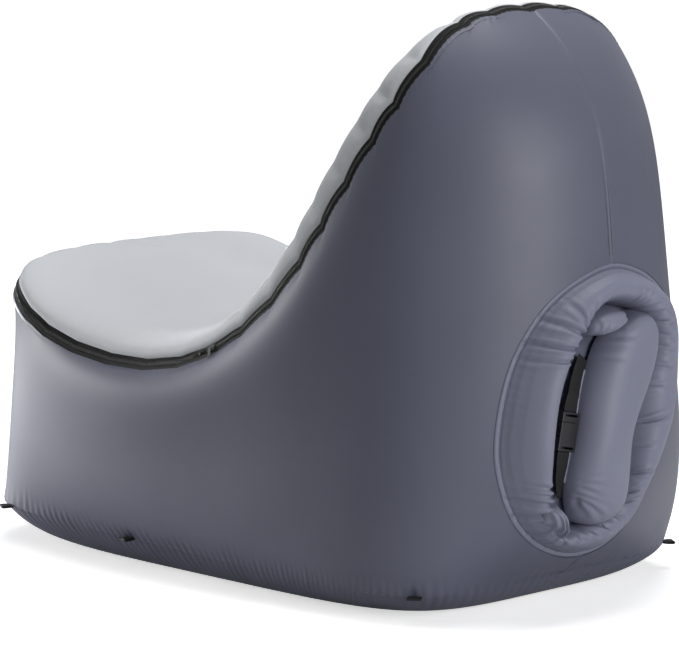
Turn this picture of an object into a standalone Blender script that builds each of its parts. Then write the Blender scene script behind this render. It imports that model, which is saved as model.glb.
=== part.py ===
"""Inflatable armchair: two zipped fabric covers over an air bag, filled through a rolled and buckled neck.

Metres, +Z up. The chair faces -Y, its back is at +Y, and the sitter's left is +X. The origin is on the
floor, in the middle of the chair's length and width. Every shell is a numpy grid turned into a thin
closed solid.
"""
import bpy
import bmesh
import numpy as np
from mathutils import Matrix

for leftover in list(bpy.data.objects):
    bpy.data.objects.remove(leftover, do_unlink=True)

# Overall sizes of the inflated chair
WIDTH = 0.70
LENGTH = 1.110
HEIGHT = 0.88
HALF_WIDTH = WIDTH / 2
HALF_LENGTH = LENGTH / 2

# Sewn seam between the side covers and the base
SEAM_WIDTH = 0.645
SEAM_REAR_Y = 0.4425
SEAM_FRONT_Y = -0.553
SEAM_HEIGHT_REAR = 0.040
SEAM_HEIGHT_FRONT = 0.060
SEAM_SQUARENESS = 6.0

# Flat patch of the base that carries the chair
PATCH_WIDTH = 0.50
PATCH_REAR_Y = 0.375
PATCH_FRONT_Y = -0.455
PATCH_SQUARENESS = 4.0

# How far air pressure pushes the covers out
REAR_BULGE = 0.140
PANEL_PUFF = 0.085
WALL_SQUARENESS = 4.5
PANEL_SQUARENESS = 7.0
BASE_ROLL_DEG = 62
BASE_SPINE_SHARE = 0.70

# Cloth, tape and air bag
FABRIC = 0.002
FIT_GAP = 0.0003
LINER = 0.0020
LINER_CLEARANCE = 0.012
MERGE = 0.0000002
SHARP_DEG = 40

# Zip
ZIP_BAND = 0.022
CHAIN_WIDTH = 0.0055
CHAIN_HEIGHT = 0.0030
TAPE_THICKNESS = 0.0012

# Filling neck at the back
NECK_WIDTH = 0.384
NECK_HEIGHT = 0.428
NECK_CENTRE_Z = 0.300
MOUTH_WIDTH = 0.200
MOUTH_HEIGHT = 0.270
MOUTH_CENTRE_X = 0.026
MOUTH_CENTRE_Z = 0.285
MOUTH_LEAN_SHARE = -0.26
COLLAR_PUFF = 0.040
COLLAR_DIP = 0.022
ROLL_PUFF = 0.062
ROLL_BACK = 0.012
RECESS_RISE = 0.004
ROLL_SHARE = 0.745
COLLAR_SQUARENESS = 2.5
ROLL_SQUARENESS = 2.6

# Webbing straps and the binding of the mouth
WEBBING_WIDTH = 0.025
WEBBING = 0.0016
STRAP_TOP_Z = 0.380
STRAP_INSET = 0.010
STRAP_BOTTOM_Z = 0.180
BINDING_WIDTH = 0.0035
BINDING = 0.002
BINDING_BOTTOM_Z = 0.200
BINDING_TOP_Z = 0.366
SEAT_GAP = 0.0005

# Side-release buckle, in its own frame: X across, Y out of the chair, Z up towards the male half
BUCKLE_X = 0.0985
BUCKLE_Z = 0.292
BUCKLE_TILT_DEG = 12.0
BUCKLE_WIDTH = 0.036
BUCKLE_THICKNESS = 0.0100
BUCKLE_WALL = 0.0016
FEMALE_LENGTH = 0.042
MALE_LENGTH = 0.015
CAVITY_DEPTH = 0.028
WINDOW_TOP = 0.008
WINDOW_BOTTOM = 0.022
SLOT_LENGTH = 0.026
SLOT_HEIGHT = 0.0036
SLOT_EDGE = 0.0030
RIB_WIDTH = 0.0055
RIB_LENGTH = 0.019
PRONG_THICKNESS = 0.0052
PRONG_ROOT_X = 0.0110
PRONG_ROOT_Z = 0.0024
PRONG_ROOT_RADIUS = 0.0020
PRONG_TIP_Z = 0.0205
PRONG_LIP_CLEARANCE = 0.0005
PRONG_FLARE = 0.0020
PRONG_ARM = 0.0042
CUT_OVERRUN = 0.004

# Zip slider, pull and stop
SLIDER_COLUMN = 15
SLIDER_AHEAD = 0.012
SLIDER_LENGTH = 0.014
SLIDER_WIDTH = 0.0090
SLIDER_PLATE = 0.0013
SLIDER_BRIDGE_LENGTH = 0.0035
SLIDER_BRIDGE_WIDTH = 0.0030
SLIDER_TRAVEL = 0.018
STOP_LENGTH = 0.0030
PULL_LENGTH = 0.016
PULL_WIDTH = 0.0050
PULL_THICKNESS = 0.0012
PULL_PIN = 0.0008

# Peg loops in the base seam: each is a length of webbing folded and pressed flat
PEG_WIDTH = 0.020
PEG_REACH = 0.020
PEG_THICKNESS = 0.0028
PEG_GAP = 0.0006
PEG_COLUMNS = (("rear", 6), ("side", 18), ("front", 23))

# Counts of columns round half the chair and of rows across each cover
COLUMNS = 28
ROWS_NECK = 10
ROWS_ABOVE_NECK = 6
ROWS_BELOW_NECK = 2
ROWS_PANEL = 7
ROWS_BASE = 3
ROWS_COLLAR = 6
ROLL_COLUMNS = 8
RECESS_COLUMNS = 2
STRAP_STEPS = 6
BINDING_STEPS = 8
CURVE_SAMPLES = 4001
OVAL_SAMPLES = 401
ROOT_SAMPLES = 7
BUCKLE_SAMPLES = 5

# Shares that say where a slope is read and how far an edge is drawn to its seam
STEP_SHARE = 1 / (8 * COLUMNS)
NEAR_ZIP_SHARE = 0.95
NEAR_SEAM_SHARE = 0.05
NECK_REACH_SHARE = 0.4
EDGE_PULL_POWER = 8
COIL_FLAT_SHARE = 0.5
LINER_BASE_SPREADS = (0.0, 1.0, 1.5)
LINER_SEAT_ROWS = (6, 5, 3, 0)

# Each row: share of the base seam from the rear centre to the front centre, then the zip line above it as
# shares of half width, half length and height, then the share of the bulge that the cover has there
ZIP_LINE_SHARES = np.array([
    (0.000, 0.000, 0.665, 0.998, 1.00),
    (0.058, 0.223, 0.660, 0.995, 0.88),
    (0.113, 0.406, 0.649, 0.980, 0.62),
    (0.160, 0.551, 0.652, 0.943, 0.36),
    (0.205, 0.666, 0.614, 0.877, 0.23),
    (0.250, 0.737, 0.537, 0.790, 0.19),
    (0.290, 0.789, 0.448, 0.695, 0.18),
    (0.330, 0.829, 0.362, 0.602, 0.19),
    (0.375, 0.863, 0.254, 0.509, 0.20),
    (0.440, 0.894, 0.076, 0.420, 0.21),
    (0.510, 0.920, -0.103, 0.377, 0.21),
    (0.570, 0.934, -0.279, 0.368, 0.20),
    (0.640, 0.937, -0.477, 0.378, 0.15),
    (0.700, 0.929, -0.658, 0.406, 0.06),
    (0.770, 0.886, -0.802, 0.457, -0.02),
    (0.850, 0.743, -0.877, 0.491, -0.02),
    (0.925, 0.386, -0.896, 0.500, 0.05),
    (1.000, 0.000, -0.898, 0.500, 0.10),
])

# Middle line of the seat and back cover beside the same rows, as shares of half length and height, then the
# share of the puff there
SPINE_SHARES = np.array([
    (0.665, 0.982, 0.20),
    (0.661, 0.975, 0.30),
    (0.662, 0.952, 0.60),
    (0.665, 0.907, 0.86),
    (0.645, 0.835, 1.00),
    (0.591, 0.750, 1.00),
    (0.519, 0.670, 0.98),
    (0.429, 0.591, 0.90),
    (0.310, 0.511, 0.75),
    (0.153, 0.438, 0.60),
    (-0.054, 0.411, 0.50),
    (-0.234, 0.415, 0.45),
    (-0.415, 0.432, 0.42),
    (-0.576, 0.449, 0.38),
    (-0.703, 0.466, 0.34),
    (-0.783, 0.477, 0.30),
    (-0.820, 0.483, 0.27),
    (-0.829, 0.484, 0.25),
])


def unit(vectors):
    """Scale each vector of an array to length one."""
    return vectors / np.linalg.norm(vectors, axis=-1, keepdims=True)


def smooth_rows(rows, odd_columns, turn, share):
    """Cubic B-spline along the rows, mirrored at both ends.

    odd_columns change sign in the mirror; turn is the value that they mirror about at the far end.
    """
    first = rows[1:2].copy()
    last = rows[-2:-1].copy()
    for column in odd_columns:
        first[:, column] *= -1
        last[:, column] = 2 * turn[column] - last[:, column]
    padded = np.vstack([first, rows, last])
    place = np.clip(np.asarray(share, float), 0, 1) * (len(rows) - 1)
    start = np.minimum(place.astype(int), len(rows) - 2)
    t = (place - start)[..., None]
    return ((1 - t) ** 3 * padded[start]
            + (3 * t ** 3 - 6 * t ** 2 + 4) * padded[start + 1]
            + (-3 * t ** 3 + 3 * t ** 2 + 3 * t + 1) * padded[start + 2]
            + t ** 3 * padded[np.minimum(start + 3, len(padded) - 1)]) / 6


def squared_oval(half_width, rear_y, front_y, squareness, arc_share):
    """Points and outward directions on half a superellipse, by share of its length from rear to front."""
    middle_y = (rear_y + front_y) / 2
    half_y = (rear_y - front_y) / 2
    turn = np.linspace(0, np.pi, CURVE_SAMPLES)
    x = half_width * np.abs(np.sin(turn)) ** (2 / squareness)
    y = middle_y + half_y * np.sign(np.cos(turn)) * np.abs(np.cos(turn)) ** (2 / squareness)
    run = np.concatenate([[0], np.cumsum(np.hypot(np.diff(x), np.diff(y)))])
    goal = np.asarray(arc_share, float) * run[-1]
    px = np.interp(goal, run, x)
    py = np.interp(goal, run, y)
    outward = unit(np.stack([px / half_width ** 2, (py - middle_y) / half_y ** 2], axis=-1))
    return px, py, outward


def zip_line(share):
    """Centre of the zip at a share of the way from the rear centre to the front centre, on the +X side."""
    rows = smooth_rows(ZIP_LINE_SHARES, (0, 1), (1, 0, 0, 0, 0), share)
    return rows[..., 1:4] * (HALF_WIDTH, HALF_LENGTH, HEIGHT)


def base_seam(share):
    """Base seam under the same share, and the outward direction there."""
    rows = smooth_rows(ZIP_LINE_SHARES, (0, 1), (1, 0, 0, 0, 0), share)
    x, y, outward = squared_oval(SEAM_WIDTH / 2, SEAM_REAR_Y, SEAM_FRONT_Y, SEAM_SQUARENESS, rows[..., 0])
    along = (SEAM_REAR_Y - y) / (SEAM_REAR_Y - SEAM_FRONT_Y)
    z = SEAM_HEIGHT_REAR + (SEAM_HEIGHT_FRONT - SEAM_HEIGHT_REAR) * along
    return np.stack([x, y, z], axis=-1), outward


def side_cover(share, rise):
    """Side cover: straight from the base seam (rise 0) to the zip (rise 1), plus the bulge of the air.

    The bulge follows 1 - |2 rise - 1| ** squareness.
    """
    rows = smooth_rows(ZIP_LINE_SHARES, (0, 1), (1, 0, 0, 0, 0), share)
    low, outward = base_seam(share)
    high = rows[..., 1:4] * (HALF_WIDTH, HALF_LENGTH, HEIGHT)
    swell = REAR_BULGE * rows[..., 4] * (1 - np.abs(2 * rise - 1) ** WALL_SQUARENESS)
    place = low + (high - low) * rise[..., None]
    place[..., 0] += outward[..., 0] * swell
    place[..., 1] += outward[..., 1] * swell
    return place


def seat_cover(share, spread):
    """Seat and back cover: from the middle line (spread 0) to the zip (spread 1), puffed up between."""
    rows = smooth_rows(SPINE_SHARES, (), (), share)
    spine = rows[..., :2] * (HALF_LENGTH, HEIGHT)
    ahead = smooth_rows(SPINE_SHARES, (), (), np.minimum(share + STEP_SHARE, 1))
    behind = smooth_rows(SPINE_SHARES, (), (), np.maximum(share - STEP_SHARE, 0))
    run = unit((ahead - behind)[..., :2] * (HALF_LENGTH, HEIGHT))
    lift = np.stack([np.zeros_like(share), run[..., 1], -run[..., 0]], axis=-1)
    middle = np.stack([np.zeros_like(share), spine[..., 0], spine[..., 1]], axis=-1)
    edge = zip_line(share)
    puff = PANEL_PUFF * rows[..., 2] * np.sqrt(np.maximum(1 - spread ** PANEL_SQUARENESS, 0))
    return middle + (edge - middle) * spread[..., None] + lift * puff[..., None]


def base_cover(share, spread):
    """Base: flat from its middle line (spread 0) to the patch's edge (1), then rolled up to the seam (2)."""
    rows = smooth_rows(ZIP_LINE_SHARES, (0, 1), (1, 0, 0, 0, 0), share)
    patch_x, patch_y, _ = squared_oval(PATCH_WIDTH / 2, PATCH_REAR_Y, PATCH_FRONT_Y, PATCH_SQUARENESS,
                                       rows[..., 0])
    patch = np.stack([patch_x, patch_y, np.zeros_like(patch_x)], axis=-1)
    middle = patch * (0, BASE_SPINE_SHARE, 0)
    seam, _ = base_seam(share)
    roll = np.radians(BASE_ROLL_DEG)
    turn = np.clip(spread - 1, 0, 1) * roll
    out = (np.sin(turn) / np.sin(roll))[..., None]
    up = (1 - np.cos(turn)) / (1 - np.cos(roll))
    place = middle + (patch - middle) * np.clip(spread, 0, 1)[..., None]
    place += (seam - patch) * out * (1, 1, 0)
    place[..., 2] = seam[..., 2] * up
    return place


def crossing(share, edge, inner, outer):
    """Unit direction from the inner point to the outer one, square to the edge line at each share."""
    ahead = edge(np.minimum(share + STEP_SHARE / 2, 1))
    behind = edge(np.maximum(share - STEP_SHARE / 2, 0))
    run = unit(ahead - behind)
    at_ends = (share <= 0) | (share >= 1)
    run[at_ends] = np.where(share[at_ends, None] <= 0, (1.0, 0, 0), (-1.0, 0, 0))
    across = unit(outer - inner)
    across = unit(across - run * np.sum(across * run, axis=-1, keepdims=True))
    return run, across


def zip_frame(share):
    """Centre, direction along, direction across (side to seat) and outward direction of the zip band."""
    near = np.full_like(share, NEAR_ZIP_SHARE)
    centre = zip_line(share)
    _, from_side = crossing(share, zip_line, side_cover(share, near), centre)
    run, to_seat = crossing(share, zip_line, centre, seat_cover(share, near))
    across = unit(from_side + to_seat)
    return centre, run, across, np.cross(across, run)


def seam_frame(share):
    """Point and outward direction of the base seam, halfway between the side cover and the base."""
    def line(place):
        return base_seam(place)[0]
    low = np.full_like(share, NEAR_SEAM_SHARE)
    seam = line(share)
    _, upward = crossing(share, line, seam, side_cover(share, low))
    under = np.full_like(share, 2 - 4 * NEAR_SEAM_SHARE)
    run, inward = crossing(share, line, seam, base_cover(share, under))
    upward_face = np.cross(upward, run)
    inward_face = np.cross(run, inward)
    return seam, unit(upward_face + inward_face)


def rear_rise(z):
    """Rise on the rear centre line of the side cover at a height."""
    low = base_seam(np.array(0.0))[0][2]
    high = zip_line(np.array(0.0))[2]
    return (z - low) / (high - low)


def rear_y(z):
    """How far back the cover reaches on the rear centre line at a height."""
    z = np.asarray(z, float)
    return side_cover(np.zeros_like(z), rear_rise(z))[..., 1]


# Columns and rows shared by every cover, so that neighbours meet point to point
SHARES = np.linspace(0, 1, COLUMNS + 1)
NECK_TURN = np.linspace(0, np.pi, ROWS_NECK + 1)
NECK_RISE = rear_rise(NECK_CENTRE_Z + NECK_HEIGHT / 2 * np.cos(NECK_TURN))
ABOVE = np.sin(np.linspace(np.pi / 2, 0, ROWS_ABOVE_NECK + 1))[:-1]
BELOW = np.linspace(1, 0, ROWS_BELOW_NECK + 1)[1:]
RISES = np.concatenate([NECK_RISE[0] + (1 - NECK_RISE[0]) * ABOVE, NECK_RISE, NECK_RISE[-1] * BELOW])
NECK_HALF = np.concatenate([np.zeros(ROWS_ABOVE_NECK), NECK_WIDTH / 2 * np.sin(NECK_TURN),
                            np.zeros(ROWS_BELOW_NECK)])
NECK_ROWS = slice(ROWS_ABOVE_NECK, ROWS_ABOVE_NECK + ROWS_NECK + 1)
SPREADS = np.sin(np.linspace(0, np.pi / 2, ROWS_PANEL + 1))


def neck_shares():
    """Share at which each row of the side cover meets the neck's oval, 0 where it reaches the centre."""
    trial = np.linspace(0, NECK_REACH_SHARE, OVAL_SAMPLES)
    found = []
    for rise, half in zip(RISES, NECK_HALF):
        x = side_cover(trial, np.full_like(trial, rise))[:, 0]
        found.append(np.interp(half, x, trial) if half > 0 else 0.0)
    return np.array(found)


def side_grid():
    """Side cover on the +X side: rows from the zip down, columns from the rear centre round to the front."""
    start = neck_shares()[:, None]
    share = start + (1 - start) * SHARES[None, :]
    rise = np.repeat(RISES[:, None], COLUMNS + 1, axis=1)
    place = side_cover(share, rise)
    centre, _, across, _ = zip_frame(SHARES)
    edge = centre - across * (ZIP_BAND / 2 + FIT_GAP)
    place += (edge - place[0])[None] * (RISES ** EDGE_PULL_POWER)[:, None, None]
    return place


def seat_grid():
    """Seat and back cover on the +X side: rows from the middle line out to the zip."""
    share, spread = np.meshgrid(SHARES, SPREADS)
    place = seat_cover(share, spread)
    centre, _, across, _ = zip_frame(SHARES)
    edge = centre + across * (ZIP_BAND / 2 + FIT_GAP)
    place += (edge - place[-1])[None] * (SPREADS ** EDGE_PULL_POWER)[:, None, None]
    return place


def base_grid():
    """Base on the +X side: rows from the middle line, over the patch's edge, up to the seam."""
    spread = np.concatenate([[0.0], np.linspace(1, 2, ROWS_BASE + 1)])
    share, spread = np.meshgrid(SHARES, spread)
    return base_cover(share, spread)


def both_sides(grid):
    """Join a +X half grid and its mirror image into columns that run all the way round."""
    mirrored = (grid * (-1, 1, 1))[:, -2:0:-1]
    return np.concatenate([grid, mirrored], axis=1)


def grid_faces(rows, columns, closed):
    """Quads of a grid, whose last column joins its first where it is closed."""
    index = np.arange(rows * columns).reshape(rows, columns)
    if closed:
        index = np.concatenate([index, index[:, :1]], axis=1)
    corners = [index[:-1, :-1], index[:-1, 1:], index[1:, 1:], index[1:, :-1]]
    return np.stack(corners, axis=-1).reshape(-1, 4)


def weld(points, faces):
    """Merge points that coincide and drop repeated corners from the faces."""
    keys = np.round(points / MERGE).astype(np.int64)
    _, first, where = np.unique(keys, axis=0, return_index=True, return_inverse=True)
    where = where.ravel()
    kept = []
    for face in faces:
        ring = [int(where[corner]) for corner in face]
        ring = [corner for place, corner in enumerate(ring) if corner != ring[place - 1]]
        if len(set(ring)) > 2:
            kept.append(ring)
    return points[first], kept, first


def corner_normals(points, faces):
    """Outward direction at each point, from the areas of the faces round it."""
    total = np.zeros_like(points)
    for face in faces:
        ring = points[face]
        normal = np.cross(ring[2] - ring[0], ring[-1] - ring[1])
        total[face] += normal
    return unit(total)


def add_object(name, points, faces, material):
    """Make one named object from points and faces, turned so that its faces point out."""
    mesh = bpy.data.meshes.new(name)
    mesh.from_pydata([tuple(point) for point in points], [], [list(face) for face in faces])
    build = bmesh.new()
    build.from_mesh(mesh)
    bmesh.ops.recalc_face_normals(build, faces=build.faces)
    if build.calc_volume(signed=True) < 0:
        bmesh.ops.reverse_faces(build, faces=build.faces)
    build.to_mesh(mesh)
    build.free()
    mesh.shade_smooth()
    mesh.set_sharp_from_angle(angle=np.radians(SHARP_DEG))
    item = bpy.data.objects.new(name, mesh)
    item.data.materials.append(material)
    bpy.context.collection.objects.link(item)
    return item


def shell(name, grids, closed, thickness, fixed, centre, material, inset=None):
    """Thin closed solid: grids as its outer face, and the same grids pushed in by the thickness.

    fixed holds, for each grid point, the outward direction to use there, or zeros for the surface's own.
    centre is a point behind the outer face, which tells outside from inside. inset moves each point of the
    outer face in before the thickness is given, and then the faces are triangles, the same ones inside.
    """
    points = np.concatenate([grid.reshape(-1, 3) for grid in grids])
    faces = []
    for number, grid in enumerate(grids):
        before = sum(other.shape[0] * other.shape[1] for other in grids[:number])
        faces.append(grid_faces(*grid.shape[:2], closed) + before)
    points, faces, first = weld(points, np.concatenate(faces))
    if inset is not None:
        faces = [[face[0], face[corner], face[corner + 1]] for face in faces for corner in range(1, len(face) - 1)]
    normals = corner_normals(points, faces)
    if np.sum(normals * (points - centre)) < 0:
        faces = [face[::-1] for face in faces]
        normals = -normals
    given = np.concatenate([part.reshape(-1, 3) for part in fixed])[first]
    stated = np.linalg.norm(given, axis=1) > 0
    normals[stated] = unit(given[stated])
    on_middle = np.abs(points[:, 0]) < FIT_GAP
    normals[on_middle] = unit(normals[on_middle] * (0, 1, 1))
    if inset is not None:
        points = points - normals * np.concatenate([part.reshape(-1) for part in inset])[first][:, None]
    inner = points - normals * thickness
    count = len(points)
    edges = {(face[place - 1], corner) for face in faces for place, corner in enumerate(face)}
    rims = [[b, a, a + count, b + count] for a, b in edges if (b, a) not in edges]
    inside = [[corner + count for corner in face[::-1]] for face in faces]
    return add_object(name, np.vstack([points, inner]), faces + inside + sorted(rims), material)


def sweep(name, frames, section, closed, material):
    """Closed solid carried along a line of frames (centre, across, outward) from a flat section."""
    centre, across, outward = frames
    rings = centre[:, None] + across[:, None] * section[None, :, :1] + outward[:, None] * section[None, :, 1:]
    rows, columns = rings.shape[:2]
    points = rings.reshape(-1, 3)
    index = np.arange(rows * columns).reshape(rows, columns)
    turned = np.concatenate([index, index[:, :1]], axis=1)
    if closed:
        turned = np.concatenate([turned, turned[:1]], axis=0)
    corners = [turned[:-1, :-1], turned[:-1, 1:], turned[1:, 1:], turned[1:, :-1]]
    faces = np.stack(corners, axis=-1).reshape(-1, 4).tolist()
    if not closed:
        faces += [index[0].tolist(), index[-1][::-1].tolist()]
    return add_object(name, points, faces, material)


def matrix_of(origin, first, second, third):
    """World matrix with its origin at a point and its axes along three directions."""
    return Matrix([(first[row], second[row], third[row], origin[row]) for row in range(3)] + [(0, 0, 0, 1)])


def block(name, low, high, frame, material, bevel=0.0):
    """Box between two corners of its own frame."""
    low = np.array(low)
    size = np.array(high) - low
    unit_cube = np.array([(x, y, z) for x in (0, 1) for y in (0, 1) for z in (0, 1)])
    faces = [(0, 1, 3, 2), (4, 6, 7, 5), (0, 4, 5, 1), (2, 3, 7, 6), (0, 2, 6, 4), (1, 5, 7, 3)]
    item = add_object(name, low + unit_cube * size, faces, material)
    item.matrix_world = frame
    if bevel:
        edge = item.modifiers.new("rounded", "BEVEL")
        edge.width = bevel
        edge.segments = 2
    return item


def cut(item, low, high, frame):
    """Cut a box out of a solid."""
    cutter = block(item.name + "_cutter", low, high, frame, item.data.materials[0])
    cutter.hide_render = True
    cutter.display_type = "WIRE"
    join(item, cutter, "DIFFERENCE")


def join(item, other, operation):
    """Boolean of one object with another."""
    change = item.modifiers.new(operation.lower(), "BOOLEAN")
    change.operation = operation
    change.object = other


def solid_between(name, front, back, material):
    """Closed solid between two grids of the same size."""
    rows, columns = front.shape[:2]
    index = np.arange(rows * columns).reshape(rows, columns)
    count = rows * columns
    faces = grid_faces(rows, columns, False)
    border = np.concatenate([index[0, :-1], index[:-1, -1], index[-1, :0:-1], index[:0:-1, 0]])
    following = np.roll(border, -1)
    rim = np.stack([border, border + count, following + count, following], axis=-1)
    points, faces, _ = weld(np.vstack([front.reshape(-1, 3), back.reshape(-1, 3)]),
                            np.vstack([faces[:, ::-1], faces + count, rim]))
    add_object(name, points, faces, material)


def paint(name, colour, roughness, metallic=0.0):
    """Principled material with a flat colour."""
    material = bpy.data.materials.new(name)
    material.use_nodes = True
    shader = material.node_tree.nodes["Principled BSDF"]
    shader.inputs["Base Color"].default_value = (*colour, 1)
    shader.inputs["Roughness"].default_value = roughness
    shader.inputs["Metallic"].default_value = metallic
    material.diffuse_color = (*colour, 1)
    return material


NYLON = paint("slate_nylon", (0.160, 0.175, 0.235), 0.45)
SEAT_CLOTH = paint("light_grey_cloth", (0.60, 0.62, 0.65), 0.75)
FILM = paint("air_bag_film", (0.75, 0.76, 0.74), 0.35)
BLACK_TAPE = paint("black_tape", (0.015, 0.015, 0.014), 0.70)
BLACK_COIL = paint("black_coil", (0.020, 0.020, 0.020), 0.35)
BLACK_METAL = paint("black_metal", (0.030, 0.030, 0.032), 0.35, 0.9)
BLACK_WEBBING = paint("black_webbing", (0.012, 0.012, 0.013), 0.80)
BLACK_PLASTIC = paint("black_plastic", (0.018, 0.018, 0.020), 0.40)


BODY_MIDDLE = np.array((0, 0, HEIGHT / 2))
BEHIND_SEAT = np.array((0, HALF_LENGTH, 0))


def neck_outward():
    """Outward direction of the side cover along the +X half of the neck's oval."""
    share = neck_shares()[NECK_ROWS]
    rise = RISES[NECK_ROWS]
    along = side_cover(share + STEP_SHARE, rise) - side_cover(share, rise)
    upward = side_cover(share, rise + STEP_SHARE) - side_cover(share, rise)
    return unit(np.cross(upward, along))


def make_covers():
    """Side covers, seat and back cover, and base."""
    _, _, _, zip_out = zip_frame(SHARES)
    seam, seam_out = seam_frame(SHARES)
    side = side_grid()
    side[-1] = seam + (0, 0, FIT_GAP / 2)
    for name, mirror in (("left_side_panel", 1), ("right_side_panel", -1)):
        half = side.copy()
        reaches_centre = NECK_HALF <= MERGE
        half[reaches_centre, 0, 0] = FIT_GAP / 2
        neck_ends = [ROWS_ABOVE_NECK, ROWS_ABOVE_NECK + ROWS_NECK]
        half[neck_ends, 0, 0] = FIT_GAP / 2
        half[:, -1, 0] = FIT_GAP / 2
        fixed = np.zeros_like(half)
        fixed[0] = zip_out
        fixed[-1] = seam_out
        fixed[NECK_ROWS, 0] = neck_outward()
        shell(name, [half * (mirror, 1, 1)], False, FABRIC, [fixed * (mirror, 1, 1)], BODY_MIDDLE, NYLON)

    seat = both_sides(seat_grid())
    fixed = np.zeros_like(seat)
    fixed[-1] = both_sides(zip_out[None])[0]
    shell("seat_back_panel", [seat], True, FABRIC, [fixed], BEHIND_SEAT, SEAT_CLOTH)

    base = base_grid()
    base[-1] = seam - (0, 0, FIT_GAP / 2)
    base = both_sides(base)
    fixed = np.zeros_like(base)
    fixed[:2] = (0, 0, -1)
    fixed[-1] = both_sides(seam_out[None])[0]
    shell("base_panel", [base], True, FABRIC, [fixed], BODY_MIDDLE, NYLON)


def make_liner():
    """Air bag inside the covers, open at the neck, its underside on the base."""
    rises = RISES[::2]
    start = neck_shares()[::2, None]
    place, rise = np.meshgrid(SHARES, rises)
    side = side_cover(start + (1 - start) * place, rise)[::-1]
    share, spread = np.meshgrid(SHARES, LINER_BASE_SPREADS)
    base = base_cover(share, spread)
    share, spread = np.meshgrid(SHARES, SPREADS[list(LINER_SEAT_ROWS)])
    seat = seat_cover(share, spread)
    half = np.concatenate([base, side, seat])
    on_middle = np.concatenate([np.full(len(base), True), (NECK_HALF[::2] <= MERGE)[::-1],
                                np.full(len(seat), True)])
    half[on_middle, 0, 0] = 0
    half[:, -1, 0] = 0
    neck_rows = np.where(~on_middle)[0]
    half[[neck_rows[0] - 1, neck_rows[-1] + 1], 0, 0] = 0
    mirrored = (half * (-1, 1, 1))[:, ::-1]
    fixed = np.zeros_like(half)
    fixed[:2] = (0, 0, -1)
    inset = np.full(half.shape[:2], LINER_CLEARANCE)
    inset[:2] = FABRIC + FIT_GAP
    shell("inner_liner", [half, mirrored], False, LINER, [fixed, fixed[:, ::-1]], BODY_MIDDLE, FILM,
          [inset, inset[:, ::-1]])


def zip_ring():
    """Frames of the zip band all the way round: centre, across and outward at each column."""
    centre, _, across, outward = zip_frame(SHARES)
    return tuple(both_sides(part[None])[0] for part in (centre, across, outward))


def slider_frame():
    """Slider's centre, direction of travel, across and outward, on its straight stretch of the zip."""
    centre, across, outward = zip_ring()
    start = centre[SLIDER_COLUMN]
    run = unit(centre[SLIDER_COLUMN + 1] - start)
    lean = unit(outward[SLIDER_COLUMN] + outward[SLIDER_COLUMN + 1])
    over = unit(np.cross(run, lean))
    return start + run * SLIDER_AHEAD, run, over, np.cross(over, run)


def make_zip():
    """Two tapes, the closed coil between them, the stop, the slider and its pull."""
    centre, across, outward = zip_ring()
    half_chain = CHAIN_WIDTH / 2
    half_tape = TAPE_THICKNESS / 2
    tape = np.array([(half_chain + FIT_GAP, -half_tape), (ZIP_BAND / 2, -half_tape),
                     (ZIP_BAND / 2, half_tape), (half_chain + FIT_GAP, half_tape)])
    sweep("zip_tape_inner", (centre, across, outward), tape, True, BLACK_TAPE)
    sweep("zip_tape_outer", (centre, across, outward), tape * (-1, 1), True, BLACK_TAPE)

    middle, run, over, out = slider_frame()
    stop_start = SLIDER_LENGTH / 2 + SLIDER_TRAVEL + FIT_GAP
    chain_start = middle + run * (stop_start + STOP_LENGTH + FIT_GAP)
    order = np.arange(SLIDER_COLUMN + 1, SLIDER_COLUMN + 1 + len(centre)) % len(centre)
    chain_centre = np.vstack([chain_start, centre[order], middle])
    chain_across = np.vstack([over, across[order], over])
    chain_outward = np.vstack([out, outward[order], out])
    half_high = CHAIN_HEIGHT / 2
    half_flat = half_chain * COIL_FLAT_SHARE
    coil = np.array([(-half_chain, 0), (-half_flat, -half_high), (half_flat, -half_high),
                     (half_chain, 0), (half_flat, half_high), (-half_flat, half_high)])
    sweep("zip_chain", (chain_centre, chain_across, chain_outward), coil, False, BLACK_COIL)

    frame = matrix_of(middle, run, over, out)
    stop = (stop_start, -half_chain, -half_high), (stop_start + STOP_LENGTH, half_chain, half_high)
    block("zip_stop", *stop, frame, BLACK_METAL)
    plate_low = half_high + FIT_GAP
    plate_high = plate_low + SLIDER_PLATE
    slider = block("zip_slider", (-SLIDER_LENGTH / 2, -SLIDER_WIDTH / 2, -plate_high),
                   (SLIDER_LENGTH / 2, SLIDER_WIDTH / 2, plate_high), frame, BLACK_METAL)
    for side in (-1, 1):
        near = SLIDER_BRIDGE_WIDTH / 2 * side
        far = (SLIDER_WIDTH / 2 + CUT_OVERRUN) * side
        cut(slider, (SLIDER_LENGTH / 2 - SLIDER_BRIDGE_LENGTH - FIT_GAP, min(near, far), -plate_low),
            (SLIDER_LENGTH / 2 + CUT_OVERRUN, max(near, far), plate_low), frame)
    cut(slider, (-SLIDER_LENGTH / 2 - CUT_OVERRUN, -SLIDER_WIDTH / 2 - CUT_OVERRUN, -plate_low),
        (SLIDER_LENGTH / 2 - SLIDER_BRIDGE_LENGTH, SLIDER_WIDTH / 2 + CUT_OVERRUN, plate_low), frame)

    pull_radius = np.hypot(PULL_THICKNESS / 2, PULL_PIN)
    hinge = middle + out * (plate_high + pull_radius + FIT_GAP)
    frame = matrix_of(hinge, run, over, out)
    block("zip_pull", (-PULL_WIDTH / 2, -PULL_LENGTH, -PULL_THICKNESS / 2),
          (PULL_WIDTH / 2, PULL_PIN, PULL_THICKNESS / 2), frame, BLACK_METAL)


def neck_edge():
    """Oval where the neck's collar is sewn to the side covers, all the way round."""
    edge = side_cover(neck_shares()[NECK_ROWS], RISES[NECK_ROWS])
    edge[[0, -1], 0] = 0
    return np.concatenate([edge, (edge * (-1, 1, 1))[-2:0:-1]])


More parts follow.
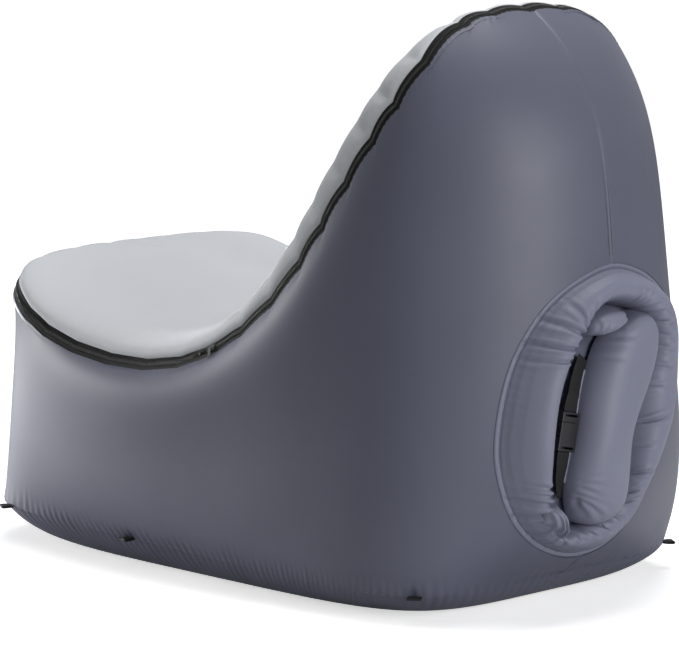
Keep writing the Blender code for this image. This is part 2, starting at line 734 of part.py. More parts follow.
def mouth_half(z):
    """Half width of the mouth at a height."""
    reach = np.clip((np.asarray(z) - MOUTH_CENTRE_Z) / (MOUTH_HEIGHT / 2), -1, 1)
    return MOUTH_WIDTH / 2 * np.sqrt(1 - reach ** 2)


def mouth_x(z):
    """Middle of the mouth at a height: it leans over to one side."""
    return MOUTH_CENTRE_X + MOUTH_LEAN_SHARE * (np.asarray(z) - MOUTH_CENTRE_Z)


def mouth_y(z):
    """Depth of the mouth's edge at a height: a dip below the rear of the cover."""
    return rear_y(z) - COLLAR_DIP


def recess_y(z):
    """Floor of the recess beside the roll, where the strap lies."""
    return mouth_y(z) + RECESS_RISE


def strap_x(z):
    """Middle of the recess at a height."""
    return mouth_x(z) + ROLL_SHARE * mouth_half(z)


def make_neck():
    """Puffed collar inside the oval seam, and the rolled mouth that closes it."""
    edge = neck_edge()
    turn = np.concatenate([NECK_TURN, -NECK_TURN[-2:0:-1]])
    mouth_z = MOUTH_CENTRE_Z + MOUTH_HEIGHT / 2 * np.cos(turn)
    rim_x = mouth_x(mouth_z) + MOUTH_WIDTH / 2 * np.sin(turn)
    mouth = np.stack([rim_x, mouth_y(mouth_z), mouth_z], axis=-1)
    spread = np.linspace(0, 1, ROWS_COLLAR + 1)[:, None, None]
    puff = COLLAR_PUFF * (1 - np.abs(2 * spread - 1) ** COLLAR_SQUARENESS)
    ring = edge + (mouth - edge) * spread + np.array((0, 1, 0)) * puff
    ring[0] += unit(mouth - edge) * FIT_GAP
    outward = neck_outward()
    fixed = np.zeros_like(ring)
    fixed[0] = np.concatenate([outward, (outward * (-1, 1, 1))[-2:0:-1]])
    shell("neck_collar", [ring], True, FABRIC, [fixed], BODY_MIDDLE, NYLON)

    turn = NECK_TURN[:, None]
    z = MOUTH_CENTRE_Z + (MOUTH_HEIGHT / 2 - FIT_GAP) * np.cos(turn)
    half = (MOUTH_WIDTH / 2 - FIT_GAP) * np.sin(turn)
    swell = ROLL_SHARE * (1 - np.cos(np.linspace(0, np.pi, ROLL_COLUMNS + 1))) / 2
    flat = np.linspace(ROLL_SHARE, 1, RECESS_COLUMNS + 1)[1:]
    across = np.concatenate([swell, flat])[None, :]
    x = mouth_x(z) + half * (2 * across - 1)
    z = z + 0 * x
    bean = np.maximum(1 - np.abs(2 * across / ROLL_SHARE - 1) ** ROLL_SQUARENESS, 0)
    ends = 1 - np.abs(np.cos(turn)) ** ROLL_SQUARENESS
    front = np.stack([x, recess_y(z) + ROLL_PUFF * np.sqrt(bean * ends) - RECESS_RISE * (np.sin(turn) < MERGE),
                      z], axis=-1)
    back = np.stack([x, mouth_y(z) - ROLL_BACK, z], axis=-1)
    solid_between("neck_roll", front, back, NYLON)


def band(name, centre, first_run, lying, width, thickness, material):
    """Flat band along a line of points, square to first_run at its first end.

    Where lying is 1 it lies flat on the recess, and where it is 0 it faces straight back.
    """
    run = unit(np.gradient(centre, axis=0))
    run[0] = first_run
    slope = (recess_y(centre[:, 2] + width) - recess_y(centre[:, 2] - width)) / (2 * width)
    facing = np.stack([0 * slope, 1 + 0 * slope, -slope * lying], axis=-1)
    out = unit(facing - run * np.sum(facing * run, axis=-1, keepdims=True))
    across = np.cross(run, out)
    section = np.array([(-width / 2, -thickness / 2), (width / 2, -thickness / 2),
                        (width / 2, thickness / 2), (-width / 2, thickness / 2)])
    sweep(name, (centre, across, out), section, False, material)


def buckle_frame():
    """Buckle's frame: origin in the mouth of the female half, X across, Y outward, Z up towards the male."""
    tilt = np.radians(BUCKLE_TILT_DEG)
    heights = np.linspace(BUCKLE_Z - FEMALE_LENGTH, BUCKLE_Z + MALE_LENGTH, BUCKLE_SAMPLES)
    y = np.max(recess_y(heights)) + SEAT_GAP + BUCKLE_THICKNESS / 2
    origin = np.array((BUCKLE_X, y, BUCKLE_Z))
    across = np.array((np.cos(tilt), 0, np.sin(tilt)))
    up = np.array((-np.sin(tilt), 0, np.cos(tilt)))
    return origin, across, up


def on_recess(x, z, thickness):
    """Middle of a band that lies in the recess."""
    return np.stack([x, recess_y(z) + SEAT_GAP + thickness / 2, z], axis=-1)


def make_straps():
    """Webbing above and below the buckle, and the binding along the edge of the mouth."""
    origin, _, up = buckle_frame()
    spans = (("strap_upper", origin + up * (MALE_LENGTH + SEAT_GAP), STRAP_TOP_Z, up),
             ("strap_lower", origin - up * (FEMALE_LENGTH + SEAT_GAP), STRAP_BOTTOM_Z, -up))
    for name, start, end_z, away in spans:
        t = np.linspace(0, 1, STRAP_STEPS + 1)[:, None]
        end, before = on_recess(strap_x(np.array((end_z, end_z - away[2] * STRAP_INSET))),
                                np.array((end_z, end_z - away[2] * STRAP_INSET)), WEBBING)
        reach = abs(end_z - start[2])
        leave = away * reach
        arrive = unit(end - before) * reach
        centre = ((2 * t ** 3 - 3 * t ** 2 + 1) * start + (t ** 3 - 2 * t ** 2 + t) * leave
                  + (3 * t ** 2 - 2 * t ** 3) * end + (t ** 3 - t ** 2) * arrive)
        band(name, centre, away, t[:, 0], WEBBING_WIDTH, WEBBING, BLACK_WEBBING)
    z = np.linspace(BINDING_BOTTOM_Z, BINDING_TOP_Z, BINDING_STEPS + 1)
    x = mouth_x(z) + (2 * ROLL_SHARE - 1) * mouth_half(z) + BINDING_WIDTH / 2 + SEAT_GAP
    centre = on_recess(x, z, BINDING)
    band("mouth_binding", centre, unit(centre[1] - centre[0]), 1, BINDING_WIDTH, BINDING, NYLON)


def prong_outline(side):
    """Outline of a prong about its pivot: round root, slim arm, and a head that flares past the lip."""
    lip = BUCKLE_WIDTH / 2 - BUCKLE_WALL - PRONG_LIP_CLEARANCE - PRONG_ROOT_X
    turn = np.linspace(0, np.pi, ROOT_SAMPLES)
    root = [(PRONG_ROOT_RADIUS * np.cos(a), PRONG_ROOT_RADIUS * np.sin(a)) for a in turn]
    shoulder = WINDOW_TOP - PRONG_ROOT_Z
    tip = PRONG_TIP_Z - PRONG_ROOT_Z
    inner = [(lip + PRONG_FLARE - PRONG_ARM, -tip), (lip - PRONG_ARM, -shoulder)]
    outer = [(lip, -shoulder), (lip + PRONG_FLARE, -tip + PRONG_ROOT_RADIUS),
             (lip + PRONG_FLARE - PRONG_ROOT_RADIUS / 2, -tip)]
    points = root + inner[::-1] + outer[::-1]
    return np.array(points) * (side, 1)


def make_buckle():
    """Side-release buckle: female body with windows, male base with a rib, and two hinged prongs."""
    origin, across, up = buckle_frame()
    out = np.array((0, 1.0, 0))
    frame = matrix_of(origin, across, out, up)
    half = BUCKLE_WIDTH / 2
    deep = BUCKLE_THICKNESS / 2
    inside = half - BUCKLE_WALL
    hollow = deep - BUCKLE_WALL
    bevel = BUCKLE_WALL / 2
    female = block("buckle_female", (-half, -deep, -FEMALE_LENGTH), (half, deep, 0), frame, BLACK_PLASTIC,
                   bevel)
    cut(female, (-inside, -hollow, -CAVITY_DEPTH), (inside, hollow, CUT_OVERRUN), frame)
    cut(female, (-half - CUT_OVERRUN, -hollow, -WINDOW_BOTTOM),
        (half + CUT_OVERRUN, hollow, -WINDOW_TOP), frame)
    slot_low = -FEMALE_LENGTH + SLOT_EDGE
    cut(female, (-SLOT_LENGTH / 2, -deep - CUT_OVERRUN, slot_low),
        (SLOT_LENGTH / 2, deep + CUT_OVERRUN, slot_low + SLOT_HEIGHT), frame)
    male = block("buckle_male", (-half, -deep, FIT_GAP), (half, deep, MALE_LENGTH), frame, BLACK_PLASTIC, bevel)
    rib = block("buckle_male_rib", (-RIB_WIDTH / 2, -PRONG_THICKNESS / 2, -RIB_LENGTH),
                (RIB_WIDTH / 2, PRONG_THICKNESS / 2, MALE_LENGTH / 2), frame, BLACK_PLASTIC)
    rib.hide_render = True
    rib.display_type = "WIRE"
    join(male, rib, "UNION")
    slot_high = MALE_LENGTH - SLOT_EDGE
    cut(male, (-SLOT_LENGTH / 2, -deep - CUT_OVERRUN, slot_high - SLOT_HEIGHT),
        (SLOT_LENGTH / 2, deep + CUT_OVERRUN, slot_high), frame)
    for name, side in (("prong_left", 1), ("prong_right", -1)):
        pivot = origin + across * (PRONG_ROOT_X * side) - up * PRONG_ROOT_Z
        outline = prong_outline(side)
        front = [(x, -PRONG_THICKNESS / 2, z) for x, z in outline]
        rear = [(x, PRONG_THICKNESS / 2, z) for x, z in outline]
        count = len(outline)
        faces = [list(range(count)), list(range(2 * count - 1, count - 1, -1))]
        faces += [[i, (i + 1) % count, (i + 1) % count + count, i + count] for i in range(count)]
        prong = add_object(name, front + rear, faces, BLACK_PLASTIC)
        prong.matrix_world = matrix_of(pivot, across, out, up)


def make_peg_loops():
    """Folded webbing tabs in the base seam, on both sides at the rear, the middle and the front."""
    seam, outward = seam_frame(SHARES)
    for place, column in PEG_COLUMNS:
        run = unit(seam[column + 1] - seam[column - 1])
        out = unit(outward[column] - run * np.dot(outward[column], run))
        for name, mirror in (("left", 1), ("right", -1)):
            flip = np.array((mirror, 1, 1))
            along = run * flip
            reach = out * flip
            frame = matrix_of(seam[column] * flip, along, reach, np.cross(along, reach))
            block("peg_loop_" + place + "_" + name, (-PEG_WIDTH / 2, PEG_GAP, -PEG_THICKNESS / 2),
                  (PEG_WIDTH / 2, PEG_REACH, PEG_THICKNESS / 2), frame, BLACK_WEBBING)


make_covers()
make_liner()
make_zip()
make_neck()
make_straps()
make_buckle()
make_peg_loops()
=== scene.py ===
import bmesh
import bpy
import mathutils
import numpy as np
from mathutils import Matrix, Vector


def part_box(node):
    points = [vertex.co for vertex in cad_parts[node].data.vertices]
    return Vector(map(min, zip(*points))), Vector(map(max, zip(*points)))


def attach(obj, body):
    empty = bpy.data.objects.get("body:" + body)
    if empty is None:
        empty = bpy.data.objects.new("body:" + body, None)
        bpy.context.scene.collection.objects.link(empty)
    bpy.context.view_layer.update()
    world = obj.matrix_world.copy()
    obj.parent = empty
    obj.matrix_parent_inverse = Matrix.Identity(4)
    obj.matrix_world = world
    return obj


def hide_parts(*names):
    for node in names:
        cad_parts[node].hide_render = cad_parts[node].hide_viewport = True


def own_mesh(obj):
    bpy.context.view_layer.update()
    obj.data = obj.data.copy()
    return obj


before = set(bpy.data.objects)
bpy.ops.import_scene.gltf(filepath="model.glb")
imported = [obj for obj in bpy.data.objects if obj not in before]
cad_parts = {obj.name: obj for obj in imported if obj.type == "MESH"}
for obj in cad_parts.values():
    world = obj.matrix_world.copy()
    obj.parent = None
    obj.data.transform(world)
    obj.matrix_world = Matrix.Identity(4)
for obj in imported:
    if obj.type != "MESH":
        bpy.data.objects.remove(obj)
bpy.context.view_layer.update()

# Zip tapes
# One long woven polyester zip runs round the whole seat and back and joins the light cover to the nylon.
# The blown-up bag makes the stiff tape buckle inwards every few centimetres, so its line is scalloped.
# Each row of the line: share of the base seam below it, then x, y and z of the zip, then share of the bulge
ZIP_LINE = np.array([
    (0.000, 0.0000, 0.3691, 0.8782, 1.00),
    (0.058, 0.0781, 0.3663, 0.8756, 0.88),
    (0.113, 0.1421, 0.3602, 0.8624, 0.62),
    (0.160, 0.1929, 0.3619, 0.8298, 0.36),
    (0.205, 0.2331, 0.3408, 0.7718, 0.23),
    (0.250, 0.2580, 0.2980, 0.6952, 0.19),
    (0.290, 0.2762, 0.2486, 0.6116, 0.18),
    (0.330, 0.2902, 0.2009, 0.5298, 0.19),
    (0.375, 0.3021, 0.1410, 0.4479, 0.20),
    (0.440, 0.3129, 0.0422, 0.3696, 0.21),
    (0.510, 0.3220, -0.0572, 0.3318, 0.21),
    (0.570, 0.3269, -0.1548, 0.3238, 0.20),
    (0.640, 0.3280, -0.2647, 0.3326, 0.15),
    (0.700, 0.3252, -0.3652, 0.3573, 0.06),
    (0.770, 0.3101, -0.4451, 0.4022, -0.02),
    (0.850, 0.2601, -0.4867, 0.4321, -0.02),
    (0.925, 0.1351, -0.4973, 0.4400, 0.05),
    (1.000, 0.0000, -0.4984, 0.4400, 0.10),
])
# Middle line of the seat and back beside the same rows: y, z and share of the puff
SEAT_LINE = np.array([
    (0.3691, 0.8642, 0.20), (0.3669, 0.8580, 0.30), (0.3674, 0.8378, 0.60), (0.3691, 0.7982, 0.86),
    (0.3580, 0.7348, 1.00), (0.3280, 0.6600, 1.00), (0.2880, 0.5896, 0.98), (0.2381, 0.5201, 0.90),
    (0.1721, 0.4497, 0.75), (0.0849, 0.3854, 0.60), (-0.0300, 0.3617, 0.50), (-0.1299, 0.3652, 0.45),
    (-0.2303, 0.3802, 0.42), (-0.3197, 0.3951, 0.38), (-0.3902, 0.4101, 0.34), (-0.4346, 0.4198, 0.30),
    (-0.4551, 0.4250, 0.27), (-0.4601, 0.4259, 0.25),
])
SEAM_HALF = 0.3225
SEAM_REAR = 0.4425
SEAM_FRONT = -0.553
SEAM_RISE = (0.040, 0.060)
SEAM_POWER = 6.0
SIDE_SWELL = 0.140
SIDE_POWER = 4.5
SEAT_SWELL = 0.085
SEAT_POWER = 7.0
SLOPE_STEP = 1 / 224
NEAR_EDGE = 0.95
SEAT_SOFT = 0.25
TAPE_INNER = 0.0024
TAPE_REACH = {"zip_tape_outer": -0.0135, "zip_tape_inner": 0.0120}
TAPE_DEPTH = 0.0005
TAPE_DROP = 0.0018
TAPE_ROWS = 7
LOOP_COLUMNS = 1400
ZIP_SAMPLES = 6001
SEAM_SAMPLES = 4001
SCALLOP = 0.074
SCALLOP_JITTER = 0.15
SCALLOP_LUCK = (0.7, 1.15)
SCALLOP_SEED = 41
SLIDER_PLACE = (0.314666, 0.020481, 0.365639)
SLIDER_CALM = 0.045
SWAY = 0.0063
HEAVE = 0.0012
LOBE_POWER = 0.75
LOBE_LEVEL = 0.60
# How strong the scallops are along half the loop, in metres from the rear middle
SCALLOP_PLACES = (0.0, 0.70, 0.85, 0.95, 1.25, 1.36, 1.64)
SCALLOP_SHARES = (0.9, 1.0, 0.6, 0.22, 0.22, 0.5, 0.5)
# Between these places the right side's scallops and every cover's creases become weaker
CALM_PLACES = (0.62, 0.95)
RIGHT_CALM = 0.3
TAPE_WEAVE = 0.0011
TAPE_RELIEF = 0.0003
TAPE_BLACK = (0.003, 0.003, 0.003, 1)
TAPE_GREY = (0.011, 0.011, 0.010, 1)


def unit(vectors):
    """Each vector of an array divided by its length."""
    return vectors / np.maximum(np.linalg.norm(vectors, axis=-1, keepdims=True), 1e-12)


def spline_point(t, before, start, end, after):
    """Point of a cubic B-spline at t from start to end: its four corners by their cubic weights, over 6."""
    return ((1 - t) ** 3 * before + (3 * t ** 3 - 6 * t ** 2 + 4) * start
            + (-3 * t ** 3 + 3 * t ** 2 + 3 * t + 1) * end + t ** 3 * after) / 6


def spline(rows, odd, far, share):
    """Cubic B-spline through the rows' polygon, mirrored at both ends; odd columns change sign there."""
    first = rows[1:2].copy()
    last = rows[-2:-1].copy()
    for column in odd:
        first[:, column] *= -1
        last[:, column] = 2 * far[column] - last[:, column]
    padded = np.vstack([first, rows, last])
    place = np.clip(np.asarray(share, float), 0, 1) * (len(rows) - 1)
    start = np.minimum(place.astype(int), len(rows) - 2)
    t = (place - start)[..., None]
    after = padded[np.minimum(start + 3, len(padded) - 1)]
    return spline_point(t, padded[start], padded[start + 1], padded[start + 2], after)


def zip_rows(share):
    """Rows of the zip line at a share of the way from the rear middle to the front middle."""
    return spline(ZIP_LINE, (0, 1), (1, 0, 0, 0, 0), share)


def half_oval(half_width, rear, front, power, share):
    """Points and outward directions of half a superellipse, by share of its length from rear to front."""
    middle = (rear + front) / 2
    half = (rear - front) / 2
    turn = np.linspace(0, np.pi, SEAM_SAMPLES)
    x = half_width * np.abs(np.sin(turn)) ** (2 / power)
    y = middle + half * np.sign(np.cos(turn)) * np.abs(np.cos(turn)) ** (2 / power)
    run = np.concatenate([[0], np.cumsum(np.hypot(np.diff(x), np.diff(y)))])
    goal = share * run[-1]
    x, y = np.interp(goal, run, x), np.interp(goal, run, y)
    return x, y, unit(np.stack([x / half_width ** 2, (y - middle) / half ** 2], axis=-1))


def base_seam(share):
    """Sewn seam of the base under the same share, and its outward direction in plan."""
    x, y, out = half_oval(SEAM_HALF, SEAM_REAR, SEAM_FRONT, SEAM_POWER, zip_rows(share)[..., 0])
    z = SEAM_RISE[0] + (SEAM_RISE[1] - SEAM_RISE[0]) * (SEAM_REAR - y) / (SEAM_REAR - SEAM_FRONT)
    return np.stack([x, y, z], axis=-1), out


def side_form(share, rise):
    """Smooth side: straight from the base seam to the zip, plus a swell of 1 - |2 rise - 1| ** power."""
    rows = zip_rows(share)
    low, out = base_seam(share)
    place = low + (rows[..., 1:4] - low) * rise[..., None]
    place[..., :2] += out * (SIDE_SWELL * rows[..., 4] * (1 - np.abs(2 * rise - 1) ** SIDE_POWER))[..., None]
    return place


def seat_form(share, spread):
    """Smooth seat: from its middle line to the zip, plus a puff of sqrt(1 - spread ** power). The width is
    straight in the spread. The rest follows spread ** 2 / (spread + soft), so the middle has no crease."""
    rows = spline(SEAT_LINE, (), (), share)
    ahead = spline(SEAT_LINE, (), (), np.minimum(share + SLOPE_STEP, 1))
    behind = spline(SEAT_LINE, (), (), np.maximum(share - SLOPE_STEP, 0))
    run = unit((ahead - behind)[..., :2])
    none = np.zeros_like(rows[..., 0])
    lift = np.stack([none, run[..., 1], -run[..., 0]], axis=-1)
    middle = np.stack([none, rows[..., 0], rows[..., 1]], axis=-1)
    puff = SEAT_SWELL * rows[..., 2] * np.sqrt(np.maximum(1 - spread ** SEAT_POWER, 0))
    soft = (1 + SEAT_SOFT) * spread ** 2 / (spread + SEAT_SOFT)
    reach = np.stack([spread, soft, soft], axis=-1)
    return middle + (zip_rows(share)[..., 1:4] - middle) * reach + lift * puff[..., None]


def zip_facing(share):
    """Zip's centre, its direction across from side to seat, and outward = across x along."""
    near = np.full_like(share, NEAR_EDGE)
    centre = zip_rows(share)[..., 1:4]
    run = unit(zip_rows(np.minimum(share + SLOPE_STEP / 2, 1))[..., 1:4]
               - zip_rows(np.maximum(share - SLOPE_STEP / 2, 0))[..., 1:4])
    run[share <= 0] = (1, 0, 0)
    run[share >= 1] = (-1, 0, 0)
    total = 0
    for before, after in ((side_form(share, near), centre), (centre, seat_form(share, near))):
        step = unit(after - before)
        total = total + unit(step - run * np.sum(step * run, axis=-1, keepdims=True))
    across = unit(total)
    return centre, across, np.cross(across, run)


share_samples = np.linspace(0, 1, ZIP_SAMPLES)
zip_samples = zip_rows(share_samples)[:, 1:4]
zip_run = np.concatenate([[0], np.cumsum(np.linalg.norm(np.diff(zip_samples, axis=0), axis=1))])
HALF_LOOP = zip_run[-1]
slider_run = zip_run[np.argmin(np.linalg.norm(zip_samples - SLIDER_PLACE, axis=1))]

chance = np.random.default_rng(SCALLOP_SEED)
cusp_count = int(round(2 * HALF_LOOP / SCALLOP))
cusps = np.arange(cusp_count) + chance.uniform(-SCALLOP_JITTER, SCALLOP_JITTER, cusp_count)
cusps = cusps * 2 * HALF_LOOP / cusp_count
cusp_half = np.where(cusps > HALF_LOOP, 2 * HALF_LOOP - cusps, cusps)
cusp_depth = np.interp(cusp_half, SCALLOP_PLACES, SCALLOP_SHARES) * chance.uniform(*SCALLOP_LUCK, cusp_count)
cusp_depth *= np.where(cusps > HALF_LOOP, np.interp(cusp_half, CALM_PLACES, (1.0, RIGHT_CALM)), 1.0)


def scallop(place):
    """Height of the scallops at a place along the loop: |sin| lobes between the cusps, less their level,
    fading to none at the slider."""
    ring = np.concatenate([cusps[-1:] - 2 * HALF_LOOP, cusps, cusps[:1] + 2 * HALF_LOOP])
    depth = np.concatenate([cusp_depth[-1:], cusp_depth, cusp_depth[:1]])
    place = np.asarray(place) % (2 * HALF_LOOP)
    cell = np.clip(np.searchsorted(ring, place, side="right") - 1, 0, len(ring) - 2)
    t = (place - ring[cell]) / (ring[cell + 1] - ring[cell])
    strength = depth[cell] * (1 - t) + depth[cell + 1] * t
    strength = strength * (1 - np.exp(-((place - slider_run) / SLIDER_CALM) ** 2))
    return strength * (np.abs(np.sin(np.pi * t)) ** LOBE_POWER - LOBE_LEVEL)


def zip_ring(place):
    """Centre, across and outward of the scalloped zip at places along the whole loop, rear middle first."""
    place = np.asarray(place) % (2 * HALF_LOOP)
    flip = np.where(place > HALF_LOOP, -1.0, 1.0)
    near = np.where(place > HALF_LOOP, 2 * HALF_LOOP - place, place)
    centre, across, out = zip_facing(np.interp(near, zip_run, share_samples))
    mirror = np.stack([flip, np.ones_like(flip), np.ones_like(flip)], axis=-1)
    centre, across, out = centre * mirror, across * mirror, out * mirror
    wave = scallop(place)[:, None]
    return centre + across * SWAY * wave + out * HEAVE * wave, across, out


def new_piece(name, points, faces, material, body, uv=None):
    """Smooth mesh from arrays; uv holds one pair per point, in metres, and the piece rides on the body."""
    mesh = bpy.data.meshes.new(name)
    faces = np.asarray(faces, dtype=np.int32)
    mesh.from_pydata(np.asarray(points, float).reshape(-1, 3).tolist(), [], faces.tolist())
    if uv is not None:
        layer = mesh.uv_layers.new(name="cloth")
        layer.data.foreach_set("uv", np.asarray(uv, float).reshape(-1, 2)[faces.ravel()].ravel())
    mesh.polygons.foreach_set("use_smooth", [True] * len(mesh.polygons))
    mesh.materials.append(material)
    item = bpy.data.objects.new(name, mesh)
    bpy.context.scene.collection.objects.link(item)
    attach(item, body)
    return item


def grid_quads(rows, columns, wrap_columns=False, wrap_rows=False):
    """Corner numbers of a grid's quads, with its last column or row joined to the first where asked."""
    row = np.arange(rows if wrap_rows else rows - 1)
    column = np.arange(columns if wrap_columns else columns - 1)
    row, column = np.meshgrid(row, column, indexing="ij")
    below, beside = (row + 1) % rows, (column + 1) % columns
    return np.stack([row * columns + column, below * columns + column,
                     below * columns + beside, row * columns + beside], axis=-1).reshape(-1, 4)


def carry(profile, centre, across, out):
    """Profile of (across, out) pairs carried along a line: centre + across * a + out * b, profile first."""
    profile = np.asarray(profile)[:, None, :, None]
    return centre[None] + across[None] * profile[:, :, 0] + out[None] * profile[:, :, 1]


class Wire:
    """Socket of a node tree. Its operators add Math nodes, and add() places any other node."""

    def __init__(self, tree, socket):
        self.tree = tree
        self.socket = socket

    def add(self, kind, settings, sockets, out=0):
        node = self.tree.nodes.new(kind)
        for name, value in settings.items():
            setattr(node, name, value)
        for name, value in sockets.items():
            if isinstance(value, Wire):
                self.tree.links.new(value.socket, node.inputs[name])
            else:
                node.inputs[name].default_value = value
        return Wire(self.tree, node.outputs[out]) if node.outputs else None

    def maths(self, operation, first, second=0.0):
        return self.add("ShaderNodeMath", {"operation": operation}, {0: first, 1: second})

    def __add__(self, other):
        return self.maths("ADD", self, other)

    def __sub__(self, other):
        return self.maths("SUBTRACT", self, other)

    def __rsub__(self, other):
        return self.maths("SUBTRACT", other, self)

    def __mul__(self, other):
        return self.maths("MULTIPLY", self, other)

    __radd__ = __add__
    __rmul__ = __mul__

    def mix(self, first, second):
        """Colour first where this value is 0, and second where it is 1."""
        return self.add("ShaderNodeMix", {"data_type": "RGBA"}, {0: self, 6: first, 7: second}, 2)

    def noise(self, scale, detail=2.0, rough=0.5):
        """Soft noise of this vector, from 0 to 1."""
        return self.add("ShaderNodeTexNoise", {}, {"Vector": self, "Scale": scale, "Detail": detail,
                                                   "Roughness": rough})

    def between(self, low, high, at_low=0.0, at_high=1.0):
        """Smooth step of this value from low to high."""
        return self.add("ShaderNodeMapRange", {"interpolation_type": "SMOOTHSTEP"},
                        {"Value": self, "From Min": low, "From Max": high,
                         "To Min": at_low, "To Max": at_high})

    def axis(self, number):
        """One coordinate of this vector."""
        return self.add("ShaderNodeSeparateXYZ", {}, {"Vector": self}, number)

    def bump(self, distance, strength=1.0):
        """Normal from this height."""
        return self.add("ShaderNodeBump", {}, {"Height": self, "Distance": distance, "Strength": strength})

    def finish(self, **sockets):
        """Principled surface with these sockets, underscores for spaces, and the material's output."""
        named = {name.replace("_", " "): value for name, value in sockets.items()}
        shader = self.add("ShaderNodeBsdfPrincipled", {}, named)
        self.add("ShaderNodeOutputMaterial", {}, {"Surface": shader})


def new_material(name, coordinate="Object"):
    """Empty material, and the wire of its object or UV coordinates."""
    material = bpy.data.materials.new(name)
    material.use_nodes = True
    tree = material.node_tree
    tree.nodes.clear()
    node = tree.nodes.new("ShaderNodeTexCoord")
    return material, Wire(tree, node.outputs[coordinate])


def weave(place, pitch):
    """Height of a plain weave on coordinates in metres: product of two sine waves, from 0 to 1."""
    warp, weft = [place.maths("SINE", place.axis(axis) * (2 * np.pi / pitch)) for axis in (0, 1)]
    return warp * weft * 0.5 + 0.5


tape_cloth, place = new_material("zip_tape", "UV")
grain = place.noise(900, 3)
ribs = weave(place, TAPE_WEAVE) * 0.6 + grain * 0.4
ribs.finish(Base_Color=ribs.mix(TAPE_BLACK, TAPE_GREY), Roughness=0.72, Specular_IOR_Level=0.15,
            Normal=ribs.bump(TAPE_RELIEF, 0.6))

loop = np.linspace(0, 2 * HALF_LOOP, LOOP_COLUMNS, endpoint=False)
ring = zip_ring(loop)
for name, far in TAPE_REACH.items():
    reach = np.linspace(TAPE_INNER * np.sign(far), far, TAPE_ROWS)
    top = np.stack([reach, TAPE_DEPTH - TAPE_DROP * (reach / far) ** 4], axis=-1)
    profile = np.vstack([top, top[::-1] - (0, 2 * TAPE_DEPTH)])
    points = carry(profile, *ring)
    quads = grid_quads(len(profile), LOOP_COLUMNS, True, True)
    if far > 0:
        quads = quads[:, ::-1]
    uv = np.stack(np.broadcast_arrays(loop[None, :], profile[:, :1]), axis=-1)
    tape = new_piece("scalloped_" + name, points, quads, tape_cloth, "shell", uv)
    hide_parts(name)

# Side covers
# Two mirrored panels of smooth coated nylon, cut to the chair's outline, sewn together down the rear and
# front middle, to the base below and to the zip tape above. Air pressure keeps them taut; the sewn edges
# gather into short puckers.
# Sewn oval of the neck in x and z, from its top round by the left side
OVAL_LINE = np.array([
    (0.000, 0.518), (0.050, 0.506), (0.095, 0.487), (0.129, 0.461), (0.153, 0.431), (0.171, 0.402),
    (0.185, 0.369), (0.196, 0.329), (0.2025, 0.291), (0.205, 0.262), (0.2035, 0.236), (0.197, 0.203),
    (0.185, 0.172), (0.167, 0.143), (0.139, 0.117), (0.109, 0.099), (0.078, 0.086), (0.046, 0.076),
    (0.014, 0.0705), (-0.016, 0.0712), (-0.036, 0.076), (-0.054, 0.087), (-0.068, 0.105), (-0.074, 0.130),
    (-0.081, 0.156), (-0.095, 0.186), (-0.115, 0.216), (-0.135, 0.245), (-0.153, 0.272), (-0.178, 0.307),
    (-0.199, 0.341), (-0.210, 0.372), (-0.208, 0.403), (-0.190, 0.432), (-0.158, 0.458), (-0.121, 0.478),
    (-0.087, 0.494), (-0.046, 0.508),
])
ROWS_OVER_NECK = 56
ROWS_AT_NECK = 76
ROWS_UNDER_NECK = 16
SIDE_COLUMNS = 561
NECK_REACH = 0.40
NECK_SAMPLES = 401
OVAL_SAMPLES = 2400
EDGE_POWER = 8
COVER_EDGE = 0.0102
EDGE_WAVE = 0.0012
EDGE_WAVE_REACH = 0.008
COVER_LIFT = 0.0011
HEM_TURN = 0.0055
HEM_UNDER = 0.0014
HEM_FOLD = 0.0011
HEM_OVER = 0.0002
HEM_BEND = 0.001
SIDE_CALM = 0.25
SIDE_FOLLOW = 0.018
CREASE_START = 0.012
PUCKER_START = 0.006
CREASE_DEPTH = 0.0005
CREASE_REACH = 0.018
CREASE_WIDTH = 0.0045
CREASE_SPREAD = 0.16
PUCKER = 0.0006
PUCKER_PERIOD = 0.0105
PUCKER_REACH = 0.013
BASE_PUCKER = 0.0011
BASE_PUCKER_PERIOD = 0.0160
BASE_PUCKER_REACH = 0.018
SEAM_DIP = 0.0016
SEAM_DIP_HALF = 0.0022
NYLON_DARK = (0.082, 0.088, 0.128, 1)
NYLON_LIGHT = (0.118, 0.125, 0.176, 1)
NYLON_RELIEF = 0.0003
# The neck's cloth looks paler in the photo. These are a paler copy of the nylon's colours: painted light for
# the brighter light on the neck
NECK_PAINTED_LIT_DARK = (0.150, 0.159, 0.222, 1)
NECK_PAINTED_LIT_LIGHT = (0.214, 0.224, 0.303, 1)


def neck_rise(z):
    """Rise on the rear middle line at a height."""
    low = base_seam(np.array([0.0]))[0][0, 2]
    return (z - low) / (ZIP_LINE[0, 3] - low)


def grid_normals(points):
    """Normals of a grid: cross product of its slopes along the columns and the rows."""
    return unit(np.cross(np.gradient(points, axis=1), np.gradient(points, axis=0)))


def gather(place, away, period, reach, seed):
    """Fine gathers beside a sewn edge: a wave of wandering phase that fades as exp(-(away / reach) ** 2)."""
    luck = np.random.default_rng(seed)
    knots = np.arange(-1, 2 * HALF_LOOP / period + 2)
    shift = np.interp(place / period, knots, luck.uniform(-0.9, 0.9, len(knots)))
    size = np.interp(place / period, knots, luck.uniform(0.35, 1.0, len(knots)))
    longer = reach * np.interp(place / period, knots, luck.uniform(0.6, 1.5, len(knots)))
    return size * np.sin(2 * np.pi * place / period + shift) * np.exp(-(away / longer) ** 2)


